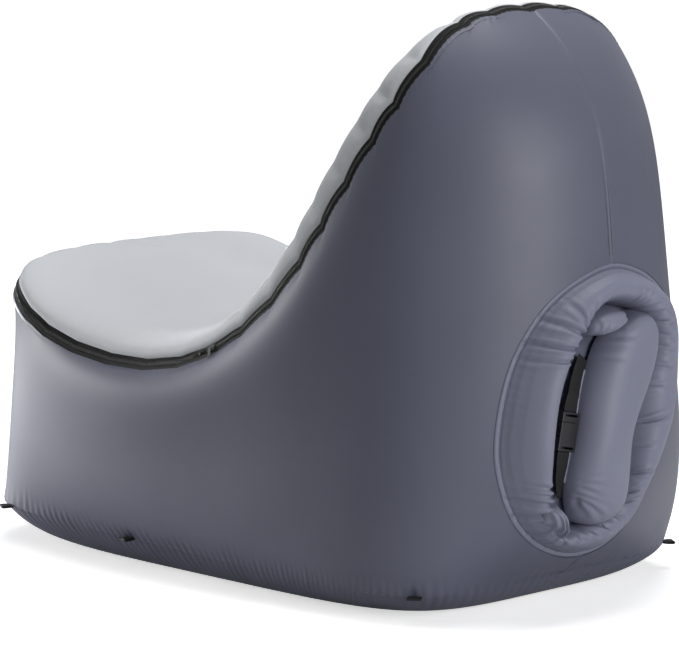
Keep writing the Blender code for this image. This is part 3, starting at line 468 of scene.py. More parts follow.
def zip_pull(points, place, away, out, ring, follow, crease):
    """How the scalloped zip moves a cover: the zip's own shift, fading as exp(-(away / follow) ** 2), and a
    valley behind each cusp that deepens, widens and fades with the distance."""
    across, outward = ring
    wave = scallop(place[0])[None, :, None]
    fade = np.exp(-(away / follow) ** 2)[..., None]
    shift = (across[None] * SWAY + outward[None] * HEAVE) * wave * fade
    depth, length, width, spread = crease
    gap = np.abs((place[..., None] - cusps + HALF_LOOP) % (2 * HALF_LOOP) - HALF_LOOP)
    valley = np.exp(-(gap / (width + spread * away[..., None])) ** 2) @ cusp_depth
    valley *= depth * (1 - np.exp(-away / CREASE_START)) * np.exp(-(away / length) ** 1.5)
    return points + shift - out * valley[..., None]


def closed_spline(points, count):
    """Closed cubic B-spline through a ring of points, sampled evenly in its parameter."""
    place = np.linspace(0, len(points), count, endpoint=False)
    start = place.astype(int)
    t = (place - start)[:, None]
    return spline_point(t, *[points[(start + step) % len(points)] for step in (-1, 0, 1, 2)])


oval_line = closed_spline(OVAL_LINE, OVAL_SAMPLES)
oval_top = oval_line[:, 1].max()
oval_low = oval_line[:, 1].min()


def oval_height(turn):
    """Height of the sewn oval at a turn from its top (0) to its bottom (pi)."""
    return (oval_top + oval_low) / 2 + (oval_top - oval_low) / 2 * np.cos(turn)


def oval_rise(turn):
    """Rise of the side at the height of the sewn oval at a turn."""
    return neck_rise(oval_height(turn))


def oval_share(turn, side):
    """Share of the seam's length where the sewn oval lies at a turn, on the left (1) or the right (-1)."""
    line = oval_line[oval_line[:, 0] * side >= 0]
    line = line[np.argsort(line[:, 1])]
    half = np.interp(oval_height(turn), line[:, 1], np.abs(line[:, 0])) * (np.sin(turn) > 1e-9)
    trial = np.linspace(0, NECK_REACH, NECK_SAMPLES)
    return np.array([np.interp(width, side_form(trial, np.full_like(trial, rise))[:, 0], trial)
                     for width, rise in zip(half, oval_rise(turn))])


neck_turn = np.linspace(0, np.pi, ROWS_AT_NECK + 1)
neck_rises = oval_rise(neck_turn)
over = np.sin(np.linspace(np.pi / 2, 0, ROWS_OVER_NECK + 1))[:-1]
under = np.linspace(1, 0, ROWS_UNDER_NECK + 1)[1:]
rises = np.concatenate([neck_rises[0] + (1 - neck_rises[0]) * over, neck_rises, neck_rises[-1] * under])
half_run = np.linspace(0, HALF_LOOP, SIDE_COLUMNS)
column_share = np.interp(half_run, zip_run, share_samples)
side_rise = np.repeat(rises[:, None], SIDE_COLUMNS, axis=1)
smooth_centre, smooth_across, smooth_out = zip_facing(column_share)
edge = smooth_centre - smooth_across * COVER_EDGE + smooth_out * COVER_LIFT


def nylon_cloth(name, dark, light, rough):
    """Tightly woven nylon: cloudy tone with a fine grain, satin sheen and a faint uneven surface."""
    cloth, place = new_material(name)
    fine = place.noise(1400, 2)
    tone = place.noise(6, 3) * 0.7 + fine * 0.3
    height = fine * 0.25 + place.noise(160, 2) * 0.75
    height.finish(Base_Color=tone.mix(dark, light), Roughness=rough + place.noise(25, 2) * 0.06,
                  Specular_IOR_Level=0.42, Normal=height.bump(NYLON_RELIEF, 0.25))
    return cloth


nylon = nylon_cloth("coated_nylon", NYLON_DARK, NYLON_LIGHT, 0.42)
# The neck's nylon gets the paler colours: painted light on the neck's collar, pad, pillow and knot
neck_nylon_painted_lit = nylon_cloth("neck_nylon_painted_lit", NECK_PAINTED_LIT_DARK, NECK_PAINTED_LIT_LIGHT, 0.48)

for name, side in (("left", 1), ("right", -1)):
    starts = np.zeros(len(rises))
    starts[ROWS_OVER_NECK:ROWS_OVER_NECK + ROWS_AT_NECK + 1] = oval_share(neck_turn, side)
    side_share = column_share[None] + starts[:, None] * np.maximum(1 - column_share[None] / NECK_REACH, 0)
    side_smooth = side_form(side_share, side_rise)
    side_smooth += (edge - side_smooth[0])[None] * (side_rise ** EDGE_POWER)[..., None]
    side_out = grid_normals(side_smooth)
    if np.sum(side_out[..., 0]) < 0:
        side_out = -side_out
    side_out[:, 0] *= (0, 1, 1)
    side_out[:, -1] *= (0, 1, 1)
    side_out = unit(side_out)
    side_step = np.linalg.norm(np.diff(side_smooth, axis=0), axis=-1)
    from_zip = np.vstack([np.zeros(SIDE_COLUMNS), np.cumsum(side_step, axis=0)])
    from_seam = from_zip[-1:] - from_zip
    side_run = np.interp(side_share, share_samples, zip_run)
    place = np.broadcast_to(half_run if side > 0 else 2 * HALF_LOOP - half_run, from_zip.shape)
    calm = np.interp(half_run, CALM_PLACES, (1.0, SIDE_CALM))[None]
    points = zip_pull(side_smooth, place, from_zip, side_out, (smooth_across, smooth_out), SIDE_FOLLOW,
                      (CREASE_DEPTH * calm, CREASE_REACH, CREASE_WIDTH, CREASE_SPREAD))
    wave = EDGE_WAVE * calm * gather(place, from_zip, PUCKER_PERIOD, EDGE_WAVE_REACH, 5 + side)
    points = points + smooth_across[None] * wave[..., None]
    shape = PUCKER * calm * gather(place, from_zip, PUCKER_PERIOD, PUCKER_REACH, 3 + side)
    base_place = np.broadcast_to(half_run, from_zip.shape)
    shape += BASE_PUCKER * gather(base_place, from_seam, BASE_PUCKER_PERIOD, BASE_PUCKER_REACH, 7 + side)
    shape *= 1 - np.exp(-from_zip / PUCKER_START)
    middle_gap = np.minimum(np.abs(side_smooth[..., 0]), 1)
    shape -= SEAM_DIP * np.exp(-(middle_gap / SEAM_DIP_HALF) ** 2)
    points = points + side_out * shape[..., None]
    points[rises > neck_rises[0], 0, 0] = 0
    points[rises < neck_rises[-1], 0, 0] = 0
    points[:, -1, 0] = 0
    points[[ROWS_OVER_NECK, ROWS_OVER_NECK + ROWS_AT_NECK], 0, 0] = 0
    turned = [points[0] - smooth_across * HEM_TURN - smooth_out * HEM_UNDER,
              points[0] + smooth_across * HEM_OVER - smooth_out * HEM_FOLD]
    points = np.concatenate([np.array(turned), points]) * (side, 1, 1)
    uv = np.stack([np.vstack([side_run[:1], side_run[:1], side_run]),
                   np.vstack([from_zip[:1] - HEM_TURN, from_zip[:1] - HEM_BEND, from_zip])], axis=-1)
    quads = grid_quads(*points.shape[:2])
    if side < 0:
        quads = quads[:, ::-1]
    cover = new_piece("nylon_side_" + name, points, quads, nylon, "shell", uv)
    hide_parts(name + "_side_panel")

# Seat and back cover
# One piece of thick light cloth, soft and matt, zipped on over the air bag. It is pulled into valleys where
# the zip buckles and lies smooth in the middle of the seat.
SEAT_ROWS = 84
SEAT_COLUMNS = 1000
SEAT_CALM = 0.2
SEAT_FOLLOW = 0.034
# Valleys of the cloth: depth, reach, width at the zip and spread
SEAT_CREASE = (0.0036, 0.060, 0.0080, 0.20)
SEAT_PUCKER = 0.0007
SEAT_SEED = 19
CLOTH_RELIEF = 0.0008
CLOTH_PALE = (0.700, 0.715, 0.750, 1)
CLOTH_SHADE = (0.610, 0.630, 0.665, 1)

seat_t = np.linspace(0, 1, SEAT_ROWS + 1)
seat_spread = 0.35 * seat_t + 0.65 * np.sin(seat_t * np.pi / 2)
seat_loop = np.linspace(0, 2 * HALF_LOOP, SEAT_COLUMNS, endpoint=False)
seat_flip = np.where(seat_loop > HALF_LOOP, -1.0, 1.0)
seat_near = np.where(seat_loop > HALF_LOOP, 2 * HALF_LOOP - seat_loop, seat_loop)
seat_share, spread = np.meshgrid(np.interp(seat_near, zip_run, share_samples), seat_spread)
mirror = np.stack([seat_flip, 0 * seat_flip + 1, 0 * seat_flip + 1], axis=-1)
seat_smooth = seat_form(seat_share, spread)
centre, across, out = zip_facing(seat_share[0])
edge = centre + across * COVER_EDGE + out * COVER_LIFT
seat_smooth += (edge - seat_smooth[-1])[None] * (spread ** EDGE_POWER)[..., None]
seat_smooth *= mirror
across, out = across * mirror, out * mirror
seat_out = unit(np.cross(np.roll(seat_smooth, -1, axis=1) - np.roll(seat_smooth, 1, axis=1),
                         np.gradient(seat_smooth, axis=0)))
seat_out[0] = seat_out[1]
if np.sum(seat_out[..., 2]) < 0:
    seat_out = -seat_out
seat_step = np.linalg.norm(np.diff(seat_smooth, axis=0), axis=-1)
to_middle = np.vstack([np.zeros(SEAT_COLUMNS), np.cumsum(seat_step, axis=0)])
from_edge = to_middle[-1:] - to_middle
place = np.broadcast_to(seat_loop, from_edge.shape)
calm = np.interp(seat_near, CALM_PLACES, (1.0, SEAT_CALM))[None]
points = zip_pull(seat_smooth, place, from_edge, seat_out, (across, out), SEAT_FOLLOW,
                  (SEAT_CREASE[0] * calm, *SEAT_CREASE[1:]))
shape = SEAT_PUCKER * gather(place, from_edge, PUCKER_PERIOD, PUCKER_REACH, SEAT_SEED)
shape *= 1 - np.exp(-from_edge / PUCKER_START)
points = points + seat_out * shape[..., None]
turned = [points[-1] - across * HEM_OVER - out * HEM_FOLD,
          points[-1] + across * HEM_TURN - out * HEM_UNDER]
points = np.concatenate([points, np.array(turned)])

seat_cloth, place = new_material("seat_cloth")
soft = place.noise(9, 3)
nap = place.noise(700, 3, 0.6)
cloth_tone = soft * 0.35 + nap * 0.65
cloth_tone.finish(Base_Color=cloth_tone.mix(CLOTH_SHADE, CLOTH_PALE), Roughness=0.92,
                  Specular_IOR_Level=0.2, Normal=(nap + place.noise(90, 3) * 0.6).bump(CLOTH_RELIEF, 0.5))
uv = np.stack([seat_loop[None].repeat(len(points), 0),
               np.vstack([to_middle, to_middle[-1:] + HEM_BEND, to_middle[-1:] + HEM_TURN])], axis=-1)
cover = new_piece("cloth_seat_and_back", points, grid_quads(*points.shape[:2], wrap_columns=True)[:, ::-1],
                  seat_cloth, "shell", uv)
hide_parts("seat_back_panel")

# Base
# One panel of the same nylon under the chair, flat where it stands on the floor and rolled up to the seam.
BASE_ROWS = 26
PATCH_HALF = 0.25
PATCH_REAR = 0.375
PATCH_FRONT = -0.455
PATCH_POWER = 4.0
BASE_ROLL = np.radians(62)
BASE_MIDDLE = 0.70
UNDER_PUCKER_REACH = 1.5 * BASE_PUCKER_REACH
BASE_SEED = 8


def base_form(share, spread):
    """Base: flat from its middle line (0) to the edge of the patch (1), then a circular roll up to the
    seam (2)."""
    rows = zip_rows(share)
    x, y, _ = half_oval(PATCH_HALF, PATCH_REAR, PATCH_FRONT, PATCH_POWER, rows[..., 0])
    patch = np.stack([x, y, 0 * x], axis=-1)
    seam, _ = base_seam(share)
    turn = np.clip(spread - 1, 0, 1) * BASE_ROLL
    middle = patch * (0, BASE_MIDDLE, 0)
    point = middle + (patch - middle) * np.clip(spread, 0, 1)[..., None]
    point += (seam - patch) * (np.sin(turn) / np.sin(BASE_ROLL))[..., None] * (1, 1, 0)
    point[..., 2] = seam[..., 2] * (1 - np.cos(turn)) / (1 - np.cos(BASE_ROLL))
    return point


base_spread = np.concatenate([[0, 0.5], np.linspace(1, 2, BASE_ROWS)])
base_share, spread = np.meshgrid(np.interp(seat_near, zip_run, share_samples), base_spread)
points = base_form(base_share, spread) * mirror
out = unit(np.cross(np.roll(points, -1, axis=1) - np.roll(points, 1, axis=1), np.gradient(points, axis=0)))
out[:3] = (0, 0, -1)
if np.sum(out[..., 2]) > 0:
    out = -out
out[:3] = (0, 0, -1)
away = np.linalg.norm(points - points[-1:], axis=-1)
place = np.broadcast_to(seat_near, away.shape)
shape = BASE_PUCKER * gather(place, away, BASE_PUCKER_PERIOD, UNDER_PUCKER_REACH, BASE_SEED)
points = points + out * shape[..., None]
points[..., 2] = np.maximum(points[..., 2], 0)
uv = np.stack(np.broadcast_arrays(seat_loop[None], away), axis=-1)
base = new_piece("nylon_base", points, grid_quads(*points.shape[:2], wrap_columns=True), nylon, "shell", uv)
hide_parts("base_panel")

# Neck collar
# The filling neck is a wide nylon sleeve sewn into an oval seam at the back. Blown up, it stands out as a
# fat ring that is gathered into the mouth, so short creases run from its inner edge outwards.
# Outline of the mouth in x and z, from the top round by the strap, the knot and the roll's far side
MOUTH_LINE = np.array([
    (0.010, 0.455), (0.040, 0.451), (0.064, 0.435), (0.084, 0.408), (0.102, 0.376), (0.116, 0.345),
    (0.126, 0.315), (0.131, 0.285), (0.136, 0.255), (0.139, 0.230), (0.137, 0.200), (0.129, 0.172),
    (0.117, 0.148), (0.102, 0.129), (0.083, 0.123), (0.060, 0.127), (0.035, 0.131), (0.010, 0.138),
    (-0.012, 0.151), (-0.026, 0.170), (-0.034, 0.195), (-0.038, 0.225), (-0.041, 0.255), (-0.047, 0.285),
    (-0.057, 0.308), (-0.071, 0.330), (-0.083, 0.355), (-0.089, 0.385), (-0.085, 0.412), (-0.069, 0.432),
    (-0.042, 0.444), (-0.015, 0.449),
])
MOUTH_MIDDLE = (0.036, 0.285)
OVAL_HALF_COLUMNS = 420
COLLAR_ROWS = 90
COLLAR_LIP = 6
COLLAR_SWELL = 0.044
COLLAR_THIN = 0.030
COLLAR_CREST = 1.35
COLLAR_FLATTER = 0.30
COLLAR_CREASE_GAIN = 1.35
MOUTH_DIP = 0.022
FLANGE = 0.0070
FLANGE_RISE = 0.0008
GROOVE = 0.0016
GROOVE_HALF = 0.0011
FLANGE_FOOT = 0.006
SWELL_FOOT = 0.020
# Widths of the ring between which its swell grows from thin to full
COLLAR_WIDTHS = (0.03, 0.07)
# The ring is flatter below this height, over this fall, and over this way out to the right
LOW_RIGHT = (0.27, 0.12, 0.06)
COLLAR_GATHER = 0.0003
FLANGE_PERIOD = 0.016
FLANGE_GATHER_REACH = 0.014
FLANGE_SEED = 31
LIP_PERIOD = 0.019
LIP_GATHER_REACH = 0.016
LIP_SEED = 33
LIP_TURN = 0.016
MOUTH_SAMPLES = 1200
# Creases of the collar: start and end in x and z, depth and half width
COLLAR_CREASES = np.array([
    (-0.024, 0.446, -0.035, 0.478, 0.0030, 0.0022), (-0.030, 0.445, -0.050, 0.474, 0.0034, 0.0022),
    (-0.038, 0.444, -0.075, 0.475, 0.0040, 0.0026), (-0.049, 0.439, -0.092, 0.453, 0.0036, 0.0024),
    (-0.058, 0.430, -0.108, 0.441, 0.0042, 0.0026), (-0.072, 0.420, -0.122, 0.418, 0.0044, 0.0026),
    (-0.078, 0.404, -0.124, 0.394, 0.0034, 0.0024), (-0.086, 0.386, -0.120, 0.376, 0.0034, 0.0024),
    (-0.087, 0.360, -0.123, 0.349, 0.0030, 0.0024), (-0.069, 0.329, -0.100, 0.327, 0.0026, 0.0022),
    (-0.052, 0.275, -0.101, 0.285, 0.0040, 0.0024), (-0.040, 0.240, -0.070, 0.243, 0.0020, 0.0022),
    (-0.038, 0.200, -0.078, 0.205, 0.0040, 0.0024), (-0.034, 0.171, -0.062, 0.182, 0.0030, 0.0024),
    (-0.032, 0.157, -0.064, 0.166, 0.0030, 0.0022), (-0.010, 0.140, -0.034, 0.128, 0.0024, 0.0022),
    (0.083, 0.420, 0.099, 0.467, 0.0040, 0.0030), (0.083, 0.418, 0.138, 0.445, 0.0044, 0.0030),
    (0.068, 0.436, 0.060, 0.475, 0.0030, 0.0026), (0.101, 0.401, 0.188, 0.416, 0.0036, 0.0028),
    (0.111, 0.385, 0.180, 0.388, 0.0026, 0.0026), (0.040, 0.447, 0.028, 0.470, 0.0022, 0.0024),
    (0.136, 0.176, 0.195, 0.187, 0.0046, 0.0030), (0.134, 0.168, 0.184, 0.152, 0.0046, 0.0030),
    (0.124, 0.150, 0.140, 0.118, 0.0040, 0.0028), (0.138, 0.200, 0.190, 0.211, 0.0030, 0.0028),
    (0.138, 0.189, 0.192, 0.198, 0.0026, 0.0026), (0.106, 0.126, 0.108, 0.104, 0.0030, 0.0024),
    (0.090, 0.118, 0.084, 0.100, 0.0034, 0.0026), (0.064, 0.122, 0.046, 0.106, 0.0034, 0.0026),
    (0.040, 0.126, 0.014, 0.112, 0.0030, 0.0026), (0.020, 0.130, -0.010, 0.118, 0.0026, 0.0024),
])


def rear_depth(z):
    """How far back the smooth side reaches on the rear middle line at a height."""
    z = np.asarray(z, float)
    return side_form(np.zeros_like(z), neck_rise(z))[..., 1]


def creases(x, z, table):
    """Height change of a table of creases: a valley along each line, deepest near its start, with a soft
    ridge on both sides. The distance is taken to the nearest point of the line."""
    change = np.zeros_like(x)
    for x0, z0, x1, z1, depth, half in table:
        length = np.hypot(x1 - x0, z1 - z0)
        t = ((x - x0) * (x1 - x0) + (z - z0) * (z1 - z0)) / length ** 2
        near = np.clip(t, 0, 1)
        gap = np.hypot(x - x0 - (x1 - x0) * near, z - z0 - (z1 - z0) * near)
        half_here = half * (0.8 + 0.9 * near)
        ridge = np.exp(-((gap - 2.1 * half_here) / half_here) ** 2)
        valley = np.exp(-(gap / half_here) ** 2) - 0.42 * ridge
        change -= depth * valley * (1 - near) ** 0.6 * np.clip(1 + t * 4, 0, 1)
    return change


turn = np.linspace(0, np.pi, OVAL_HALF_COLUMNS + 1)
oval_left, oval_right = [side_form(oval_share(turn, side), oval_rise(turn)) * (side, 1, 1)
                         for side in (1, -1)]
oval = np.concatenate([oval_left, oval_right[-2:0:-1]])
oval[[0, OVAL_HALF_COLUMNS], 0] = 0
mouth = closed_spline(MOUTH_LINE, MOUTH_SAMPLES)
mouth_angle = np.arctan2(mouth[:, 0] - MOUTH_MIDDLE[0], mouth[:, 1] - MOUTH_MIDDLE[1])
mouth_reach = np.hypot(mouth[:, 0] - MOUTH_MIDDLE[0], mouth[:, 1] - MOUTH_MIDDLE[1])
by_angle = np.argsort(mouth_angle)


def mouth_radius(angle):
    """Distance of the mouth's outline from its middle, by the angle from straight up."""
    return np.interp(angle, mouth_angle[by_angle], mouth_reach[by_angle], period=2 * np.pi)


oval_angle = np.arctan2(oval[:, 0] - MOUTH_MIDDLE[0], oval[:, 2] - MOUTH_MIDDLE[1])
reach = mouth_radius(oval_angle)
inner_x = MOUTH_MIDDLE[0] + reach * np.sin(oval_angle)
inner_z = MOUTH_MIDDLE[1] + reach * np.cos(oval_angle)
inner = np.stack([inner_x, rear_depth(inner_z) - MOUTH_DIP, inner_z], axis=-1)
q = np.linspace(0, 1, COLLAR_ROWS)[:, None]
q = 0.3 * q + 0.7 * q ** 2
across_width = np.hypot(inner[:, 0] - oval[:, 0], inner[:, 2] - oval[:, 2])
low_right = np.clip((LOW_RIGHT[0] - oval[:, 2]) / LOW_RIGHT[1], 0, 1)
low_right *= np.clip(-oval[:, 0] / LOW_RIGHT[2], 0, 1)
swell = np.interp(across_width, COLLAR_WIDTHS, (COLLAR_THIN, COLLAR_SWELL)) * (1 - COLLAR_FLATTER * low_right)
puff = swell[None] * (1 - np.abs(2 * q ** COLLAR_CREST - 1) ** 2.3)
from_oval = q * across_width[None]
foot = np.clip((from_oval - FLANGE) / FLANGE_FOOT, 0, 1) ** 1.5
puff *= foot * 0.5 + 0.5 * np.clip(from_oval / SWELL_FOOT, 0, 1)
ring = oval[None] + (inner - oval)[None] * q[..., None]
ring[..., 1] += puff
shape = COLLAR_CREASE_GAIN * creases(ring[..., 0], ring[..., 2], COLLAR_CREASES)
oval_run = np.concatenate([[0], np.cumsum(np.linalg.norm(np.diff(oval, axis=0), axis=1))])[None]
place = np.broadcast_to(oval_run, from_oval.shape)
from_mouth = across_width[None] - from_oval
shape += COLLAR_GATHER * gather(place, from_oval - FLANGE, FLANGE_PERIOD, FLANGE_GATHER_REACH, FLANGE_SEED)
shape += COLLAR_GATHER * gather(place, from_mouth, LIP_PERIOD, LIP_GATHER_REACH, LIP_SEED)
grooves = np.exp(-(from_oval / GROOVE_HALF) ** 2) + np.exp(-((from_oval - FLANGE) / GROOVE_HALF) ** 2)
shape -= GROOVE * grooves
shape += FLANGE_RISE * np.exp(-((from_oval - FLANGE / 2) / (FLANGE / 3)) ** 2)
ring_out = unit(np.cross(np.roll(ring, -1, axis=1) - np.roll(ring, 1, axis=1), np.gradient(ring, axis=0)))
if np.sum(ring_out[..., 1]) < 0:
    ring_out = -ring_out
ring = ring + ring_out * (shape * np.minimum(1, (1 - q) * 6))[..., None]
lip = np.linspace(0, 1, COLLAR_LIP + 1)[1:, None, None]
outward = unit((oval - inner) * (1, 0, 1))[None]
turned = ring[-1:] + outward * LIP_TURN * lip ** 2
turned = turned - np.array((0, 1, 0)) * LIP_TURN * np.sin(lip * np.pi / 2)
ring = np.concatenate([ring, turned])
uv = np.stack([np.vstack([oval_run] * len(ring)), np.linalg.norm(ring - ring[:1], axis=-1)], axis=-1)
quads = grid_quads(*ring.shape[:2], wrap_columns=True)[:, ::-1]
collar = new_piece("puffed_collar", ring, quads, neck_nylon_painted_lit, "shell", uv)
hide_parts("neck_collar")

# Neck roll
# The end of the sleeve is rolled up and tucked over the mouth. It makes one fat kidney-shaped pad beside
# the strap, a small pillow above it and a knot of gathered cloth below the strap.
# Left and right edge of the pad in x and z, from its top to its bottom
ROLL_LEFT = np.array([
    (-0.040, 0.441), (-0.018, 0.435), (0.004, 0.425), (0.024, 0.409), (0.043, 0.384), (0.060, 0.352),
    (0.071, 0.320), (0.077, 0.290), (0.085, 0.260), (0.093, 0.230), (0.097, 0.202), (0.094, 0.178),
    (0.079, 0.152), (0.056, 0.134), (0.030, 0.128),
])
ROLL_RIGHT = np.array([
    (-0.040, 0.441), (-0.063, 0.438), (-0.080, 0.426), (-0.088, 0.407), (-0.084, 0.382), (-0.072, 0.354),
    (-0.054, 0.327), (-0.035, 0.301), (-0.020, 0.274), (-0.017, 0.245), (-0.019, 0.215), (-0.023, 0.187),
    (-0.026, 0.160), (-0.010, 0.137), (0.030, 0.128),
])
ROLL_ROWS = 170
ROLL_COLUMNS = 150
ROLL_SWELL = 0.050
ROLL_FLOOR = 0.006
ROLL_BACK = 0.010
PAD_WELD = 0.00002
ROLL_CREASES = np.array([
    (0.060, 0.407, -0.035, 0.412, 0.0022, 0.0028), (0.066, 0.385, 0.004, 0.379, 0.0014, 0.0024),
    (0.062, 0.398, 0.000, 0.400, 0.0010, 0.0022), (0.088, 0.196, 0.040, 0.170, 0.0016, 0.0026),
    (0.090, 0.186, 0.030, 0.158, 0.0024, 0.0026), (0.090, 0.178, 0.060, 0.144, 0.0038, 0.0026),
    (0.088, 0.180, 0.036, 0.142, 0.0036, 0.0026), (0.089, 0.205, 0.020, 0.190, 0.0013, 0.0026),
    (0.086, 0.172, 0.076, 0.150, 0.0030, 0.0024), (0.088, 0.215, 0.044, 0.214, 0.0009, 0.0026),
])
# Pillow above the strap: middle in x and z, half length, half width and tilt in degrees
EAR = (0.031, 0.434, 0.040, 0.0190, 6.0)
EAR_GRID = (70, 60)
EAR_FLOOR = 0.010
EAR_BACK = 0.012
EAR_SWELL = 0.046
EAR_FATTER = 0.18
EAR_CREASES = np.array([
    (0.062, 0.409, 0.048, 0.440, 0.0032, 0.0022), (0.062, 0.409, 0.061, 0.440, 0.0030, 0.0020),
    (0.060, 0.410, 0.026, 0.432, 0.0026, 0.0022), (-0.008, 0.439, 0.020, 0.440, 0.0024, 0.0022),
])
# Knot below the strap: x and z where it starts and ends, and half its width there
KNOT_START = (0.139, 0.175)
KNOT_END = (0.114, 0.128)
KNOT_HALF = (0.0120, 0.0260)
KNOT_GRID = (70, 90)
KNOT_CURL = (0.010, 0.017, 0.006)
KNOT_RISE = 0.028
KNOT_FLOOR = 0.003
KNOT_BACK = 0.008
KNOT_PLEAT = 0.0026
LINING_ROWS = 24
LINING_COLUMNS = 200
LINING_WIDER = 1.03
LINING_DEPTH = 0.0035
LINING_WAVE = 0.0012
LINING_WAVE_LENGTH = 0.004


def open_spline(points, count):
    """Cubic B-spline through a row of points, ends doubled so that it starts and stops on them."""
    padded = np.vstack([2 * points[:1] - points[1:2], points, 2 * points[-1:] - points[-2:-1]])
    place = np.linspace(0, len(points) - 1, count)
    start = np.minimum(place.astype(int), len(points) - 2)
    t = (place - start)[:, None]
    return spline_point(t, *[padded[start + step] for step in range(4)])


def pillow(x, z, height, edge_y):
    """Front of a pad over a grid of x and z, which stands height above edge_y, and its outward normals."""
    front = np.stack([x, edge_y + height, z], axis=-1)
    out = grid_normals(front)
    if np.sum(out[..., 1]) < 0:
        out = -out
    return front, out


def close_pad(name, front, back, material, body):
    """One closed mesh from a front grid and a back grid with the same rim, whose rim points are merged."""
    rows, columns = front.shape[:2]
    number = np.arange(rows * columns).reshape(rows, columns)
    behind = number + rows * columns
    behind[0], behind[-1], behind[:, 0], behind[:, -1] = number[0], number[-1], number[:, 0], number[:, -1]
    quads = grid_quads(rows, columns)
    backs = behind.reshape(-1)[quads][:, ::-1]
    points = np.concatenate([front.reshape(-1, 3), back.reshape(-1, 3)])
    uv = points[:, [0, 2]]
    item = new_piece(name, points, np.concatenate([quads, backs]), material, body, uv)
    build = bmesh.new()
    build.from_mesh(item.data)
    bmesh.ops.remove_doubles(build, verts=build.verts, dist=PAD_WELD)
    bmesh.ops.delete(build, geom=[vert for vert in build.verts if not vert.link_faces], context="VERTS")
    bmesh.ops.recalc_face_normals(build, faces=build.faces)
    if build.calc_volume(signed=True) < 0:
        bmesh.ops.reverse_faces(build, faces=build.faces)
    build.to_mesh(item.data)
    build.free()
    return item


left = open_spline(ROLL_LEFT, ROLL_ROWS)
right = open_spline(ROLL_RIGHT, ROLL_ROWS)
right[[0, -1]] = left[[0, -1]]
t = np.linspace(0, 1, ROLL_ROWS)[:, None]
a = (1 - np.cos(np.linspace(0, np.pi, ROLL_COLUMNS)))[None] / 2
x = left[:, :1] + (right[:, :1] - left[:, :1]) * a
z = left[:, 1:] + (right[:, 1:] - left[:, 1:]) * a
floor_y = rear_depth(z) - MOUTH_DIP + ROLL_FLOOR
dome = np.sqrt(np.maximum(1 - np.abs(2 * a - 1) ** 2.8, 0))
ends = np.minimum(1, np.sqrt(np.maximum(1 - np.abs(2 * t - 1) ** 5.0, 0)))
height = ROLL_SWELL * dome * ends
fold = creases(x, z, ROLL_CREASES) * np.minimum(1, dome * 1.4) * ends
front, out = pillow(x, z, height, floor_y)
front = front + out * fold[..., None]
back = np.stack([x, floor_y - ROLL_BACK * dome * ends, z], axis=-1)
roll = close_pad("rolled_sleeve", front, back, neck_nylon_painted_lit, "shell")
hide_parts("neck_roll")

middle_x, middle_z, half_long, half_short, tilt = EAR
spin = np.radians(tilt)
t = np.linspace(0, np.pi, EAR_GRID[0])[:, None]
a = (1 - np.cos(np.linspace(0, np.pi, EAR_GRID[1])))[None] - 1
along = np.cos(t) + 0 * a
beside = np.sin(t) ** 0.8 * a * (1 + EAR_FATTER * along)
x = middle_x + half_long * along * np.cos(spin) - half_short * beside * np.sin(spin)
z = middle_z - half_long * along * np.sin(spin) + half_short * beside * np.cos(spin)
floor_y = rear_depth(z) - EAR_FLOOR
body = np.sqrt(np.maximum(1 - np.abs(a) ** 2.2, 0)) * np.sin(t) ** 0.6
fold = creases(x, z, EAR_CREASES)
front, out = pillow(x, z, EAR_SWELL * body, floor_y)
front = front + out * (fold * np.minimum(1, 1.3 * body))[..., None]
back = np.stack([x, floor_y - EAR_BACK * body, z], axis=-1)
ear = close_pad("sleeve_pillow", front, back, neck_nylon_painted_lit, "shell")

t = np.linspace(0, 1, KNOT_GRID[0])[:, None]
a = np.linspace(-1, 1, KNOT_GRID[1])[None]
half = KNOT_HALF[0] + (KNOT_HALF[1] - KNOT_HALF[0]) * t ** 0.8
x = KNOT_START[0] + (KNOT_END[0] - KNOT_START[0]) * t + half * a + KNOT_CURL[0] * t * a ** 2
z = KNOT_START[1] + (KNOT_END[1] - KNOT_START[1]) * t + (KNOT_CURL[1] * a + KNOT_CURL[2] * a ** 2) * t
floor_y = rear_depth(z) + KNOT_FLOOR
body = np.sqrt(np.maximum(1 - np.abs(a) ** 2.4, 0))
body = body * np.sqrt(np.maximum(1 - np.abs(2 * t ** 1.4 - 1) ** 3, 0))
pleat = KNOT_PLEAT * np.cos(np.pi * (4.5 * a + 1.4 * t)) * body * (0.4 + 0.6 * t)
front, out = pillow(x, z, KNOT_RISE * body, floor_y)
front = front + out * pleat[..., None]
back = np.stack([x, floor_y - KNOT_BACK * body, z], axis=-1)
knot = close_pad("gathered_knot", front, back, neck_nylon_painted_lit, "shell")

# Floor of the mouth: the slack cloth that lies behind the strap
t = np.linspace(0, 1, LINING_ROWS)[:, None]
angle = np.linspace(-np.pi, np.pi, LINING_COLUMNS, endpoint=False)[None]
reach = mouth_radius(angle) * LINING_WIDER * t
x = MOUTH_MIDDLE[0] + reach * np.sin(angle)
z = MOUTH_MIDDLE[1] + reach * np.cos(angle)
wrinkle = LINING_WAVE * np.sin(z / LINING_WAVE_LENGTH + 9 * x)
points = np.stack([x, rear_depth(z) - MOUTH_DIP - LINING_DEPTH + wrinkle, z], axis=-1)
points[0] = points[0].mean(axis=0)
quads = grid_quads(*points.shape[:2], wrap_columns=True)
lining = new_piece("mouth_lining", points, quads, nylon, "shell", points[..., [0, 2]])

# Zip coil and stitches
# A moulded coil of black polyester wire is sewn to the edge of each tape and meshes along the middle. Dark
# lockstitch holds the collar's flange in two rows, and the rear middle seam in two rows.
COIL_PITCH = 0.0018
COIL_WIRE = 0.00050
BAR_SIDES = 6
COIL_PATH = np.array([(-0.0032, 0.0004), (-0.0020, 0.0013), (0.0, 0.0017), (0.0020, 0.0013),
                      (0.0032, 0.0004)])
